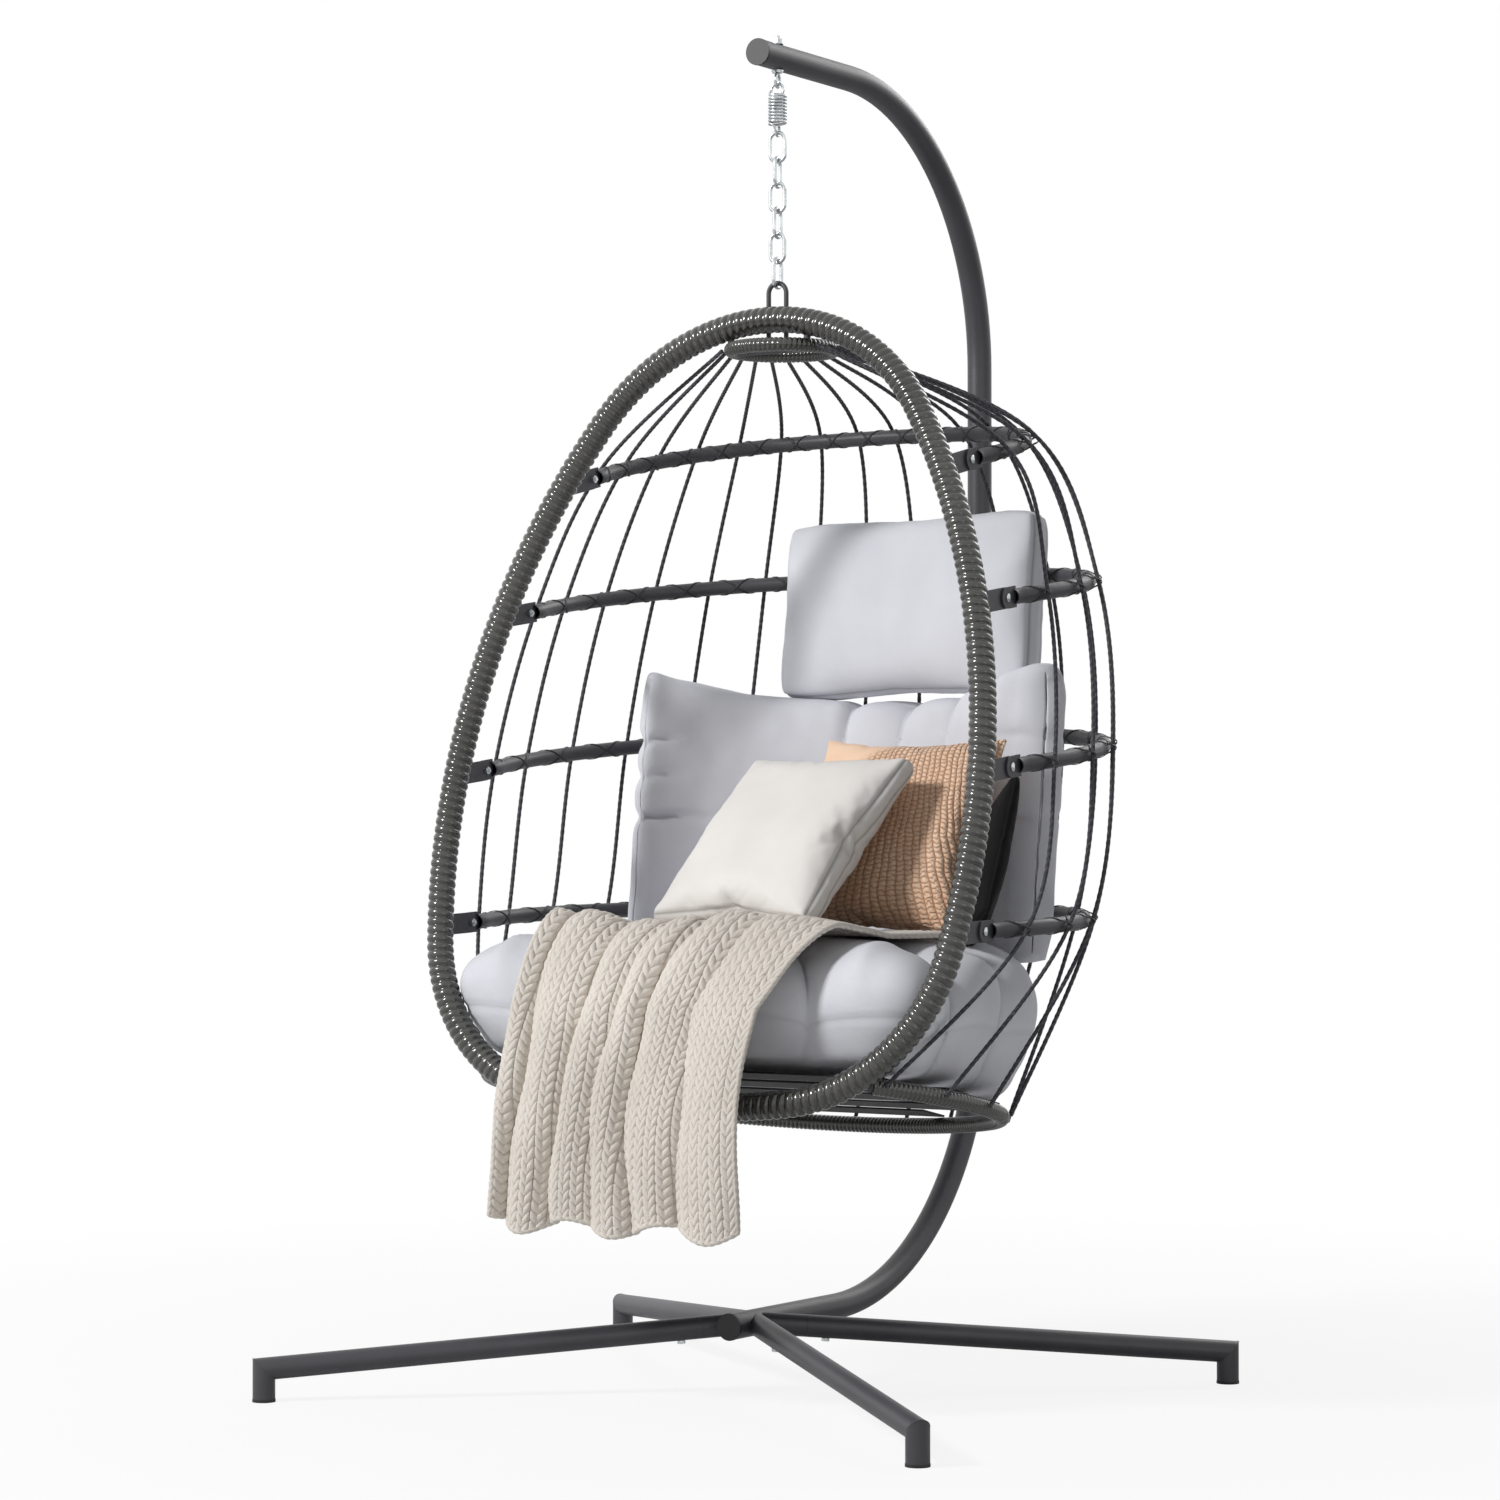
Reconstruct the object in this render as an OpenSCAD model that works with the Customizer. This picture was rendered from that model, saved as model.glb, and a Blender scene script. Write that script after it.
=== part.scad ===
// Hanging egg chair: a rope basket on a chain and spring, under a four-legged stand.
// X runs across the chair, Y from its open front to its back, and Z up from the floor.

/* [Stand] */
// Height of the arm's centre line above the floor
arm_h = 1930; // [1880:1:2000]
// Outer diameter of the pole tube
pole_d = 38; // [36:0.5:42]
// Wall of the pole tube
pole_wall = 2; // [1.5:0.1:2.5]
// Distance from the middle of the base back to the upright
pole_reach = 665; // [655:1:700]
// Radius of the pole's bend at the floor
base_bend_r = 440; // [400:1:460]
// Radius of the bend into the arm
arm_bend_r = 400; // [340:1:420]
// How far the pole's front end stands before the middle of the base
nose_reach = 62; // [55:1:80]
// Height of the pole's run along the floor
hub_h = 100; // [92:1:115]
// Height of the joint between the two pole sections
joint_h = 760; // [660:1:900]
// Length of the spigot inside the pole joint
spigot_len = 90; // [70:1:120]
// Distance from the middle of the base back to the hanging line
hang_reach = 65; // [50:1:80]
// How far the arm runs past the hanging line
arm_overhang = 51; // [40:1:70]
// Thickness of the flange on the plastic end caps
cap_flange = 4; // [3:0.5:6]

/* [Legs] */
// Outer diameter of the leg tube
leg_d = 32; // [30:0.5:35]
// Wall of the leg tube
leg_wall = 1.5; // [1.2:0.1:2]
// Half of the distance between left and right feet
foot_x = 533; // [500:1:560]
// Half of the distance between front and rear feet
foot_y = 450; // [430:1:480]
// Height of the leg's centre line over the foot
foot_h = 46; // [40:1:60]
// Distance from the hub to the seam where a leg begins
leg_seam = 76; // [70:1:95]
// Length of the spigot inside each leg
leg_spigot = 60; // [45:1:80]

/* [Hanging gear] */
// Wire of the eye bolt's ring
eye_wire = 5; // [4:0.5:6]
// Outer diameter of the eye bolt's ring
eye_d = 24; // [22:0.5:28]
// Diameter of the eye bolt's shank
eye_shank = 8; // [6:0.5:10]
// Wire of the coil spring
spring_wire = 4; // [3.5:0.1:4.2]
// Diameter of the coil, over its wire centres
coil_d = 24; // [22:0.5:27]
// Rise of one coil
coil_pitch = 4.7; // [4.7:0.1:5.5]
// Number of coils
coil_turns = 9; // [7:1:11]
// Radius of the spring's end hooks, to the wire centre
hook_r = 9; // [8.5:0.1:10]
// Wire of a chain link
link_wire = 5.5; // [5:0.1:6]
// Outer length of a chain link
link_len = 48; // [46:0.5:54]
// Outer width of a chain link
link_w = 28; // [27:0.5:31]
// Turn of the chain about the hanging line at its top
chain_turn = 15; // [0:1:18]
// Rod of the basket's hanger loop
loop_rod = 7; // [6:0.5:8]
// Outer width of the hanger loop
loop_w = 37; // [34:0.5:42]

/* [Hoop] */
// Drop from the hanger loop's top to the hoop's top
hoop_drop = 56; // [52:1:70]
// Lean of the hoop, top back and foot forward
hoop_lean = 13.8; // [12:0.1:16]
// Diameter of the hoop's steel tube
hoop_tube_d = 25; // [22:0.5:26]
// Diameter over the hoop's winding
hoop_wrap_d = 39; // [36:0.5:42]
// Radius at the top of the hoop
hoop_top_r = 318; // [305:1:330]
// Turn of the hoop's top on each side
hoop_top_turn = 57; // [55:0.5:60]
// Radius of the hoop's long sides
hoop_side_r = 1090; // [1040:1:1120]
// Turn of the hoop's long sides
hoop_side_turn = 43; // [41:0.5:44]
// Radius of the hoop's lower corners
hoop_corner_r = 264; // [255:1:272]
// Turn of the hoop's lower corners
hoop_corner_turn = 73; // [70:0.5:75]

/* [Cross bars] */
// Distance of each bar below the hoop's top, along the hoop
bar_drop = [239, 439, 679, 904]; // [230:1:910]
// Half of the distance between each bar's end screws
bar_half_w = [325, 408, 446, 433]; // [315:1:455]
// Upward tilt of each bar to the back
bar_tilt = [12.5, 8, 6.5, 2]; // [0:0.5:13]
// Outward turn at each bar's neck
bar_flare = [14, 20, 20, 23]; // [10:1:25]
// Radius of each bar's sides
bar_side_r = [232, 288, 330, 306]; // [220:1:340]
// Turn of each bar's sides
bar_side_turn = [91, 98, 92, 92]; // [88:1:98]
// Diameter of the bar tube
bar_d = 22; // [20:0.5:24]
// Wall of the bar tube
bar_wall = 1.5; // [1.2:0.1:2]
// Distance from the hoop back to the end screws
bar_stand_off = 75; // [68:1:80]
// Height of the flattened bar ends and of their tabs
tab_h = 30; // [26:1:34]
// Thickness of the flattened bar ends and of their tabs
tab_t = 3; // [2.5:0.1:4]
// Diameter of the end screws
screw_d = 6; // [5:0.5:7]
// Radius of the bend at each bar's neck
neck_r = 60; // [50:1:70]
// Length of the flattened end behind its screw
tail_len = 18; // [16:1:22]

/* [Rings] */
// Diameter of the top ring, over its tube's centre
top_ring_d = 150; // [140:1:160]
// Drop from the hanger loop's top to the top ring
top_ring_drop = 96; // [93:1:110]
// Distance of the top ring's middle behind the hanging line
top_ring_back = 14; // [8:1:20]
// Diameter of the top ring's tube
top_tube_d = 14; // [12:0.5:15]
// Diameter over the top ring's winding
top_wrap_d = 21; // [19:0.5:23]
// Distance of the bottom ring's ends below the hoop's top, along the hoop
low_ring_drop = 1112; // [1100:1:1120]
// Outward turn of the bottom ring's ends
low_ring_flare = 51; // [45:1:55]
// Radius of the bottom ring's sides
low_ring_side_r = 252; // [240:1:265]
// Turn of the bottom ring's sides
low_ring_side_turn = 101; // [98:1:104]
// Downward tilt of the bottom ring to the back
low_ring_tilt = 11.3; // [9:0.1:13]
// Diameter of the bottom ring's tube
low_tube_d = 16; // [14:0.5:18]
// Diameter over the bottom ring's winding
low_wrap_d = 24; // [22:0.5:26]
// Width of a seat strap
strap_w = 38; // [30:1:45]
// Thickness of a seat strap
strap_t = 3; // [2:0.5:4]
// Number of seat straps
strap_count = 5; // [3:1:6]

/* [Ropes and lacing] */
// Diameter of a rope
rope_d = 6.4; // [5:0.2:7]
// Number of ropes
rope_count = 17; // [15:2:17]
// Thickness of the lacing strip
lace_t = 1.2; // [0.8:0.1:1.6]
// Width of the lacing strip
lace_w = 7; // [5:0.5:9]
// Turns of the lacing strip round each bar
lace_turns = 10; // [6:1:12]

/* [Cushions] */
// Width of the seat cushion
seat_w = 806; // [785:1:808]
// Depth of the seat cushion
seat_depth = 490; // [475:1:495]
// Height of the seat cushion's top above the bottom ring's ends
seat_rise = 190; // [175:1:195]
// Number of petals round the seat cushion
seat_petals = 12; // [10:1:14]
// Thickness of the back cushion
back_t = 105; // [90:1:115]
// Height of the back cushion at its middle
back_h = 382; // [370:1:383]
// Extra height of the back cushion's wings
wing_rise = 50; // [30:1:60]
// Number of channels in the back cushion
back_channels = 7; // [5:1:9]
// Width of the head cushion
head_w = 450; // [430:1:455]
// Height of the head cushion
head_h = 272; // [262:1:274]
// Thickness of the head cushion
head_t = 105; // [90:1:110]
// Side of the square throw pillows
pillow_w = 328; // [315:1:330]
// Thickness of the throw pillows
pillow_t = 100; // [85:1:105]

/* [Throw] */
// Width of the knitted throw where it hangs
throw_w = 400; // [360:1:420]
// Thickness of the knitted throw
throw_t = 9; // [7:0.5:11]
// Number of folds across the throw
throw_folds = 6; // [4:1:7]
// Depth of the throw's folds
fold_depth = 26; // [18:1:30]

/* [Hidden] */

// Clearances and small standard sizes
gap = 0.3;
hole_gap = 0.4;
bolt_d = 6;
washer_t = 1.6;
insert_len = 14;
round_fn = 48;

// Colours
PAINT = [0.29, 0.29, 0.31];
BLACK = [0.06, 0.06, 0.07];
ZINC = [0.78, 0.79, 0.8];
RATTAN = [0.38, 0.38, 0.35];
ROPE = [0.22, 0.22, 0.24];
GREY_CLOTH = [0.82, 0.82, 0.84];
WHITE_CLOTH = [0.93, 0.92, 0.9];
PEACH_CLOTH = [0.82, 0.6, 0.46];
KNIT = [0.84, 0.81, 0.77];

// The origin is on the floor under the middle of the whole chair's outline
pole_r = pole_d / 2;
cap_r = pole_r + 0.5;
leg_r = leg_d / 2;
foot_r = leg_r + 0.5;
middle_y = (pole_reach + pole_r - foot_y - foot_r) / 2;
hang_y = hang_reach - middle_y;

// Hanging gear, from the arm down to the hanger loop
eye_ring_r = (eye_d - eye_wire) / 2;
collar_t = 2;
eye_z = arm_h - pole_r - washer_t - collar_t - eye_ring_r - eye_wire / 2 + 1;
eye_low_z = eye_z - eye_ring_r;
hook_top_z = eye_low_z + (eye_wire + spring_wire) / 2 + gap;
coil_top_z = hook_top_z - hook_r - 8;
coil_start = 220;
coil_span = coil_turns * 360 + 10;
coil_low_z = coil_top_z - coil_pitch * coil_span / 360;
hook_low_z = coil_low_z - 8 - hook_r;
link_r = (link_w - link_wire) / 2;
link_span = link_len - link_wire;
link_1_z = hook_low_z + (spring_wire + link_wire) / 2 + gap;
link_step = link_span - link_wire - gap;
chain_low_z = link_1_z - 5 * link_step - link_span;
hang_z = chain_low_z + (link_wire + loop_rod) / 2 + gap;
echo(swing_side_z = eye_low_z, swing_front_z = link_1_z - link_span, hang_y = hang_y, hang_z = hang_z);

function unit(v) = v / norm(v);

// A round bar along straights [length, 0] and bends [radius, turn], with left turns positive
module run(path, r, i = 0) {
  if (i < len(path)) {
    size = path[i][0];
    turn = path[i][1];
    if (turn == 0) {
      rotate([0, 90, 0]) cylinder(r = r, h = size, $fn = round_fn);
      translate([size, 0, 0]) run(path, r, i + 1);
    } else {
      side = sign(turn);
      translate([0, side * size, 0])
        rotate([0, 0, turn > 0 ? -90 : 90 + turn])
          rotate_extrude(angle = abs(turn), $fn = 4 * round_fn)
            translate([size, 0]) circle(r = r, $fn = round_fn);
      translate([size * sin(abs(turn)), side * size * (1 - cos(turn)), 0])
        rotate([0, 0, turn]) run(path, r, i + 1);
    }
  }
}

// A tube bent along the same kind of path, in butt-jointed lengths with a ring inside each joint
joint_ring = 3;
joint_trim = 0.05;

module tube(path, r, wall, closed = false, i = 0) {
  if (i < len(path)) {
    size = path[i][0];
    turn = path[i][1];
    side = sign(turn);
    cut = joint_trim / size * 180 / PI;
    if (closed || i > 0)
      rotate([0, 90, 0]) translate([0, 0, -joint_ring]) difference() {
        cylinder(r = r - wall / 4, h = 2 * joint_ring, $fn = round_fn);
        translate([0, 0, -1]) cylinder(r = r - wall * 3 / 4, h = 2 * joint_ring + 2, $fn = round_fn);
      }
    translate([0, side * size, 0])
      rotate([0, 0, turn > 0 ? cut - 90 : 90 + turn + cut])
        rotate_extrude(angle = abs(turn) - 2 * cut, $fn = 4 * round_fn)
          translate([size, 0]) difference() {
            circle(r = r, $fn = round_fn);
            circle(r = r - wall, $fn = round_fn);
          }
    translate([size * sin(abs(turn)), side * size * (1 - cos(turn)), 0])
      rotate([0, 0, turn]) tube(path, r, wall, closed, i + 1);
  }
}

module hex(across, h) {
  cylinder(d = across / cos(30), h = h, $fn = 6);
}

module hex_bolt(d, len, head) {
  translate([0, 0, -head]) hex(d * 1.7, head);
  cylinder(d = d, h = len, $fn = round_fn);
}

// ---- stand ----

module in_stand() {
  translate([0, -middle_y, 0]) children();
}

spigot_d = pole_d - 2 * pole_wall - 2 * gap;
bore_ext = 2;

function pole_low_path(extra) = [
  [nose_reach + pole_reach - base_bend_r + extra, 0],
  [base_bend_r, 90],
  [joint_h - hub_h - base_bend_r + extra, 0]
];

module leg_frame(sx, sy) {
  translate([0, 0, hub_h])
    rotate([0, 0, atan2(sy * foot_y, sx * foot_x)])
      children();
}

leg_run = norm([foot_x, foot_y]);
leg_slope = atan2(hub_h - foot_h, leg_run);
leg_tube_len = norm([leg_run, hub_h - foot_h]);

module on_leg() {
  rotate([0, leg_slope, 0]) children();
}

module rod_x(r, from, to) {
  translate([from, 0, 0]) rotate([0, 90, 0]) cylinder(r = r, h = to - from, $fn = round_fn);
}

module all_legs() {
  for (sx = [-1, 1], sy = [-1, 1]) leg_frame(sx, sy) children();
}

module pole_spigot() {
  root = 14;
  difference() {
    union() {
      translate([0, 0, -root]) cylinder(d = spigot_d, h = root + spigot_len, $fn = round_fn);
      translate([0, 0, -root]) cylinder(d = pole_d - pole_wall, h = root - 3, $fn = round_fn);
    }
    translate([0, 0, -root - 1]) cylinder(d = spigot_d - 2 * pole_wall, h = root + spigot_len + 2, $fn = round_fn);
  }
}

module pole_lower() {
  color(PAINT) in_stand() difference() {
    union() {
      difference() {
        union() {
          translate([0, -nose_reach, hub_h]) rotate([90, 0, 90]) run(pole_low_path(0), pole_r);
          all_legs() on_leg() {
            rod_x(leg_r, 0, leg_seam);
            rod_x(leg_r - leg_wall - gap, leg_seam - 1, leg_seam + leg_spigot);
          }
        }
        translate([0, -nose_reach - bore_ext, hub_h])
          rotate([90, 0, 90]) run(pole_low_path(bore_ext), pole_r - pole_wall);
        all_legs() on_leg() rod_x(leg_r - 2 * leg_wall - gap, pole_d + 8, leg_seam + leg_spigot + bore_ext);
      }
      translate([0, pole_reach, joint_h]) pole_spigot();
    }
    all_legs() on_leg() leg_bolt_hole();
    pole_bolt_places() pole_bolt_hole();
  }
}

module pole_upper() {
  straight = arm_h - arm_bend_r - joint_h;
  arm_len = pole_reach - arm_bend_r - hang_reach + arm_overhang;
  color(PAINT) in_stand() {
    difference() {
      translate([0, pole_reach, joint_h + gap]) rotate([90, 0, 90]) rotate([0, 0, 90])
        run([[straight - gap, 0], [arm_bend_r, 90], [arm_len, 0]], pole_r);
      translate([0, pole_reach, joint_h - bore_ext]) rotate([90, 0, 90]) rotate([0, 0, 90])
        run([[straight + bore_ext, 0], [arm_bend_r, 90], [arm_len + bore_ext, 0]], pole_r - pole_wall);
      pole_bolt_places() pole_bolt_hole();
      translate([0, hang_reach, arm_h - pole_d])
        cylinder(d = eye_shank + hole_gap, h = 2 * pole_d, $fn = round_fn);
    }
  }
}

module pole_bolt_places() {
  for (z = [0.3, 0.72])
    translate([0, pole_reach + pole_r, joint_h + z * spigot_len]) rotate([90, 0, 0]) children();
}

module pole_bolt_hole() {
  translate([0, 0, -1]) cylinder(d = bolt_d + hole_gap, h = pole_d + 2, $fn = round_fn);
}

module pole_bolts() {
  color(ZINC) in_stand() pole_bolt_places() translate([0, 0, -gap]) hex_bolt(bolt_d, pole_d + 12, 4);
}

module pole_nuts() {
  color(ZINC) in_stand() pole_bolt_places() translate([0, 0, pole_d + gap]) difference() {
    hex(bolt_d * 1.7, 5);
    translate([0, 0, -1]) cylinder(d = bolt_d + 0.1, h = 8, $fn = round_fn);
  }
}

module tube_plug(tube_r, wall, flange_r) {
  translate([0, 0, -cap_flange]) cylinder(r = flange_r, h = cap_flange, $fn = round_fn);
  translate([0, 0, -1]) cylinder(r = tube_r - wall - gap, h = insert_len + 1, $fn = round_fn);
}

module arm_end_cap() {
  color(BLACK) in_stand() translate([0, hang_reach - arm_overhang, arm_h])
    rotate([-90, 0, 0]) tube_plug(pole_r, pole_wall, cap_r);
}

module base_end_cap() {
  color(BLACK) in_stand() translate([0, -nose_reach, hub_h])
    rotate([-90, 0, 0]) tube_plug(pole_r, pole_wall, cap_r);
}

// Half spaces on each side of the mitre between leg and foot, each a weld's width past it
module mitre_side(side) {
  block = 2 * leg_tube_len;
  weld = 0.4;
  rotate([0, (90 + leg_slope) / 2, 0])
    translate([side < 0 ? weld - block : -weld, -block / 2, -block / 2]) cube(block);
}

module leg_body(r, inner_ext) {
  corner = [leg_run, 0, foot_h - hub_h];
  intersection() {
    on_leg() rod_x(r, leg_seam + gap - inner_ext, leg_tube_len + leg_d);
    translate(corner) mitre_side(-1);
  }
  intersection() {
    translate([leg_run, 0, cap_flange - hub_h - inner_ext])
      cylinder(r = r, h = foot_h + leg_d, $fn = round_fn);
    translate(corner) mitre_side(1);
  }
}

leg_bolt_x = leg_seam + leg_spigot / 2;

module leg_bolt_hole() {
  translate([leg_bolt_x, 0, -leg_r - 1]) cylinder(d = bolt_d + hole_gap, h = leg_r, $fn = round_fn);
}

module leg(sx, sy) {
  color(PAINT) in_stand() leg_frame(sx, sy) difference() {
    leg_body(leg_r, 0);
    leg_body(leg_r - leg_wall, bore_ext);
    on_leg() leg_bolt_hole();
  }
}

module leg_bolts() {
  color(ZINC) in_stand() all_legs() on_leg()
    translate([leg_bolt_x, 0, -leg_r - gap]) hex_bolt(bolt_d, 10, 4);
}

module foot_cap(sx, sy) {
  color(BLACK) in_stand() translate([sx * foot_x, sy * foot_y, cap_flange])
    tube_plug(leg_r, leg_wall, foot_r);
}

// ---- hanging gear ----

module on_hang_line(z, turn = 0) {
  translate([0, hang_y, z]) rotate([0, 0, turn]) children();
}

// A ring of wire standing upright along X
module upright_ring(r, wire_r) {
  rotate([90, 0, 0]) rotate_extrude($fn = 2 * round_fn) translate([r, 0]) circle(r = wire_r, $fn = round_fn);
}

module eye_bolt() {
  shank_low = arm_h - pole_r - washer_t - 1;
  color(ZINC) on_hang_line(0) {
    translate([0, 0, shank_low])
      cylinder(d = eye_shank, h = pole_d + 2 * washer_t + eye_shank + 4, $fn = round_fn);
    translate([0, 0, arm_h - pole_r - washer_t - collar_t]) cylinder(r = eye_shank, h = collar_t, $fn = round_fn);
    translate([0, 0, eye_z]) rotate([0, 0, 90 + chain_turn]) upright_ring(eye_ring_r, eye_wire / 2);
  }
}

module eye_washer(z) {
  color(ZINC) on_hang_line(z) difference() {
    cylinder(r = eye_shank + 1, h = washer_t, $fn = round_fn);
    translate([0, 0, -1]) cylinder(d = eye_shank + hole_gap, h = 2 + washer_t, $fn = round_fn);
  }
}

module eye_nut() {
  color(ZINC) on_hang_line(arm_h + pole_r + washer_t) difference() {
    hex(eye_shank * 1.6, eye_shank * 0.8);
    translate([0, 0, -1]) cylinder(d = eye_shank + 0.1, h = eye_shank + 2, $fn = round_fn);
  }
}

// Rings of a tube swept along points, with the section carried along without twist
function tangents(p) = [for (i = [0:len(p) - 1]) unit(p[min(i + 1, len(p) - 1)] - p[max(i - 1, 0)])];
function carry(t, n, i = 0) = i == len(t) ? [] : let (m = unit(n - (n * t[i]) * t[i])) concat([m], carry(t, m, i + 1));
function sweep_points(p, r, sides, n) = let (t = tangents(p), m = carry(t, n))
  [for (i = [0:len(p) - 1]) let (b = cross(t[i], m[i]))
    for (k = [0:sides - 1]) p[i] + r * (cos(360 * k / sides) * m[i] + sin(360 * k / sides) * b)];
function tube_faces(rings, sides) = concat(
  [for (i = [0:rings - 2], k = [0:sides - 1]) let (a = i * sides + k, b = i * sides + (k + 1) % sides)
    each [[a, a + sides, b], [b, a + sides, b + sides]]],
  [for (k = [1:sides - 2]) [0, k, k + 1]],
  [for (k = [1:sides - 2]) let (e = (rings - 1) * sides) [e, e + k + 1, e + k]]);

module swept_tube(p, r, sides, n) {
  polyhedron(points = sweep_points(p, r, sides, n), faces = tube_faces(len(p), sides));
}

// Spring wire: a hook, the coils in 8 steps each, and the same hook turned over
coil_r = coil_d / 2;
hook_points = concat(
  [for (a = [-40:27.5:180]) [hook_r * cos(a), 0, hook_r * sin(a) + hook_r + 8 - hook_r]],
  [[-coil_r + 1.6, -1.6, 3.6], [-coil_r + 1, -4.6, 1]]);
coil_steps = 8 * coil_turns;
coil_points = [for (i = [0:coil_steps]) let (a = coil_start + coil_span * i / coil_steps)
  [coil_r * cos(a), coil_r * sin(a), -coil_pitch * coil_span / 360 * i / coil_steps]];
coil_drop = coil_pitch * coil_span / 360;
function turned_over(p) = [p[1], p[0], -p[2] - coil_drop];
spring_points = concat(hook_points, coil_points,
  [for (i = [len(hook_points) - 1:-1:0]) turned_over(hook_points[i])]);
spring_gap = min([for (i = [0:len(spring_points) - 6], j = [i + 5:len(spring_points) - 1])
  norm(spring_points[i] - spring_points[j])]) - spring_wire;
echo(spring_least_gap = spring_gap);

module spring() {
  color(ZINC) on_hang_line(coil_top_z, chain_turn)
    swept_tube(spring_points, spring_wire / 2, 6, [0, 1, 0]);
}

module chain_link(i) {
  straight = link_span - 2 * link_r;
  turn = chain_turn * (7 - i) / 6 + 90 * (i - 1);
  color(ZINC) on_hang_line(link_1_z - (i - 1) * link_step - link_span + link_r, turn)
    rotate([90, 0, 0]) rotate([0, 0, 90]) translate([0, -link_r, 0])
      run([[straight, 0], [link_r, 180], [straight, 0], [link_r, 180]], link_wire / 2);
}

// ---- basket frame ----

hoop_r = hoop_tube_d / 2;
wrap_r = hoop_wrap_d / 2;
loop_r = (loop_w - loop_rod) / 2;
apex_y = -(wrap_r + loop_rod / 2 + gap);

// The hoop's half outline: ends and centres of its arcs, as [across, down]
turn_1 = hoop_top_turn;
turn_2 = turn_1 + hoop_side_turn;
turn_3 = turn_2 + hoop_corner_turn;
hoop_p1 = [hoop_top_r * sin(turn_1), hoop_top_r * (1 - cos(turn_1))];
hoop_p2 = hoop_p1 + hoop_side_r * [sin(turn_2) - sin(turn_1), cos(turn_1) - cos(turn_2)];
hoop_p3 = hoop_p2 + hoop_corner_r * [sin(turn_3) - sin(turn_2), cos(turn_2) - cos(turn_3)];
hoop_low_r = hoop_p3[0] / sin(turn_3);
hoop_len = hoop_p3[1] + hoop_low_r * (1 + cos(turn_3));
hoop_path = [[hoop_top_r, -2 * hoop_top_turn], [hoop_side_r, -hoop_side_turn], [hoop_corner_r, -hoop_corner_turn],
  [hoop_low_r, -2 * (180 - turn_3)], [hoop_corner_r, -hoop_corner_turn], [hoop_side_r, -hoop_side_turn]];

// Half width of the hoop at a distance below its top
function arc_across(p, turn, r, down) = let (c = acos(max(-1, min(1, cos(turn) - (down - p[1]) / r))))
  p[0] + r * (sin(c) - sin(turn));
function hoop_across(down) = down < hoop_p1[1] ? arc_across([0, 0], 0, hoop_top_r, down)
  : down < hoop_p2[1] ? arc_across(hoop_p1, turn_1, hoop_side_r, down)
  : arc_across(hoop_p2, turn_2, hoop_corner_r, down);

// A place on the hoop's mid plane, as [y, z] from the hanging point
function hoop_yz(down) = [apex_y - down * sin(hoop_lean), -hoop_drop - down * cos(hoop_lean)];

module in_basket() {
  translate([0, hang_y, hang_z]) children();
}

module on_hoop() {
  in_basket() translate([0, apex_y, -hoop_drop]) rotate([90 - hoop_lean, 0, 0]) children();
}

module hoop_shape(r, wall) {
  translate([-hoop_p1[0], -hoop_p1[1], 0]) rotate([0, 0, turn_1]) tube(hoop_path, r, wall, true);
}

// Everything more than a distance behind the hoop's mid plane
module behind_hoop(distance) {
  on_hoop() translate([-hoop_len, -2 * hoop_len, -hoop_len - distance]) cube([2 * hoop_len, 3 * hoop_len, hoop_len]);
}

module hoop_tube() {
  vent_d = 5;
  color(PAINT) on_hoop() difference() {
    hoop_shape(hoop_r, bar_wall);
    translate([0, -hoop_len, 0]) rotate([90, 0, 0]) cylinder(d = vent_d, h = 2 * hoop_r, $fn = round_fn);
  }
}

module hoop_wrap() {
  color(RATTAN) difference() {
    on_hoop() hoop_shape(wrap_r, wrap_r - hoop_r - gap);
    for (i = [0:3], side = [-1, 1]) bar_tab(i, side, gap);
    low_ring_ends(low_tube_d / 2 + gap);
    ring_lugs(gap, hoop_r);
  }
}

module hanger_loop() {
  leg = top_ring_drop - loop_r - top_tube_d / 2 - gap;
  color(PAINT) in_basket() translate([loop_r, 0, -loop_r - leg]) rotate([90, 0, 0]) rotate([0, 0, 90])
    run([[leg, 0], [loop_r, 180], [leg, 0]], loop_rod / 2);
}

top_tube_r = top_tube_d / 2;
top_ring_r = top_ring_d / 2;

module on_top_ring() {
  in_basket() translate([0, top_ring_back, -top_ring_drop]) children();
}

// Posts that carry the top ring below the hoop
module ring_lugs(ext, past = 0) {
  lug_r = 5;
  across = sqrt(pow(top_ring_r, 2) - pow(top_ring_back - apex_y, 2));
  down = hoop_top_r - sqrt(pow(hoop_top_r, 2) - pow(across + lug_r, 2));
  lug_top = -hoop_drop - down * cos(hoop_lean) - hoop_r - 2 * gap;
  for (side = [-1, 1])
    in_basket() translate([side * across, apex_y, -top_ring_drop])
      cylinder(r = lug_r + ext, h = lug_top + top_ring_drop + past, $fn = round_fn);
}

module top_cross_bar(r) {
  half = sqrt(pow(top_ring_r, 2) - pow(top_ring_back, 2));
  in_basket() translate([0, 0, -top_ring_drop]) rod_x(r, -half, half);
}

module top_ring() {
  color(PAINT) {
    on_top_ring() rotate_extrude($fn = 2 * round_fn) translate([top_ring_r, 0]) circle(r = top_tube_r, $fn = round_fn);
    top_cross_bar(top_tube_r - gap);
    ring_lugs(0);
  }
}

module top_ring_wrap() {
  color(RATTAN) difference() {
    on_top_ring() rotate_extrude($fn = 2 * round_fn) translate([top_ring_r, 0]) difference() {
      circle(d = top_wrap_d, $fn = round_fn);
      circle(r = top_tube_r + gap, $fn = round_fn);
    }
    top_cross_bar(top_tube_r + gap);
    ring_lugs(gap);
  }
}

// ---- arcs round the back: a bar or the bottom ring, in its own plane ----
// A shape is [half width at its start, distance of its start behind the hoop, flare, side radius, side turn]

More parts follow.
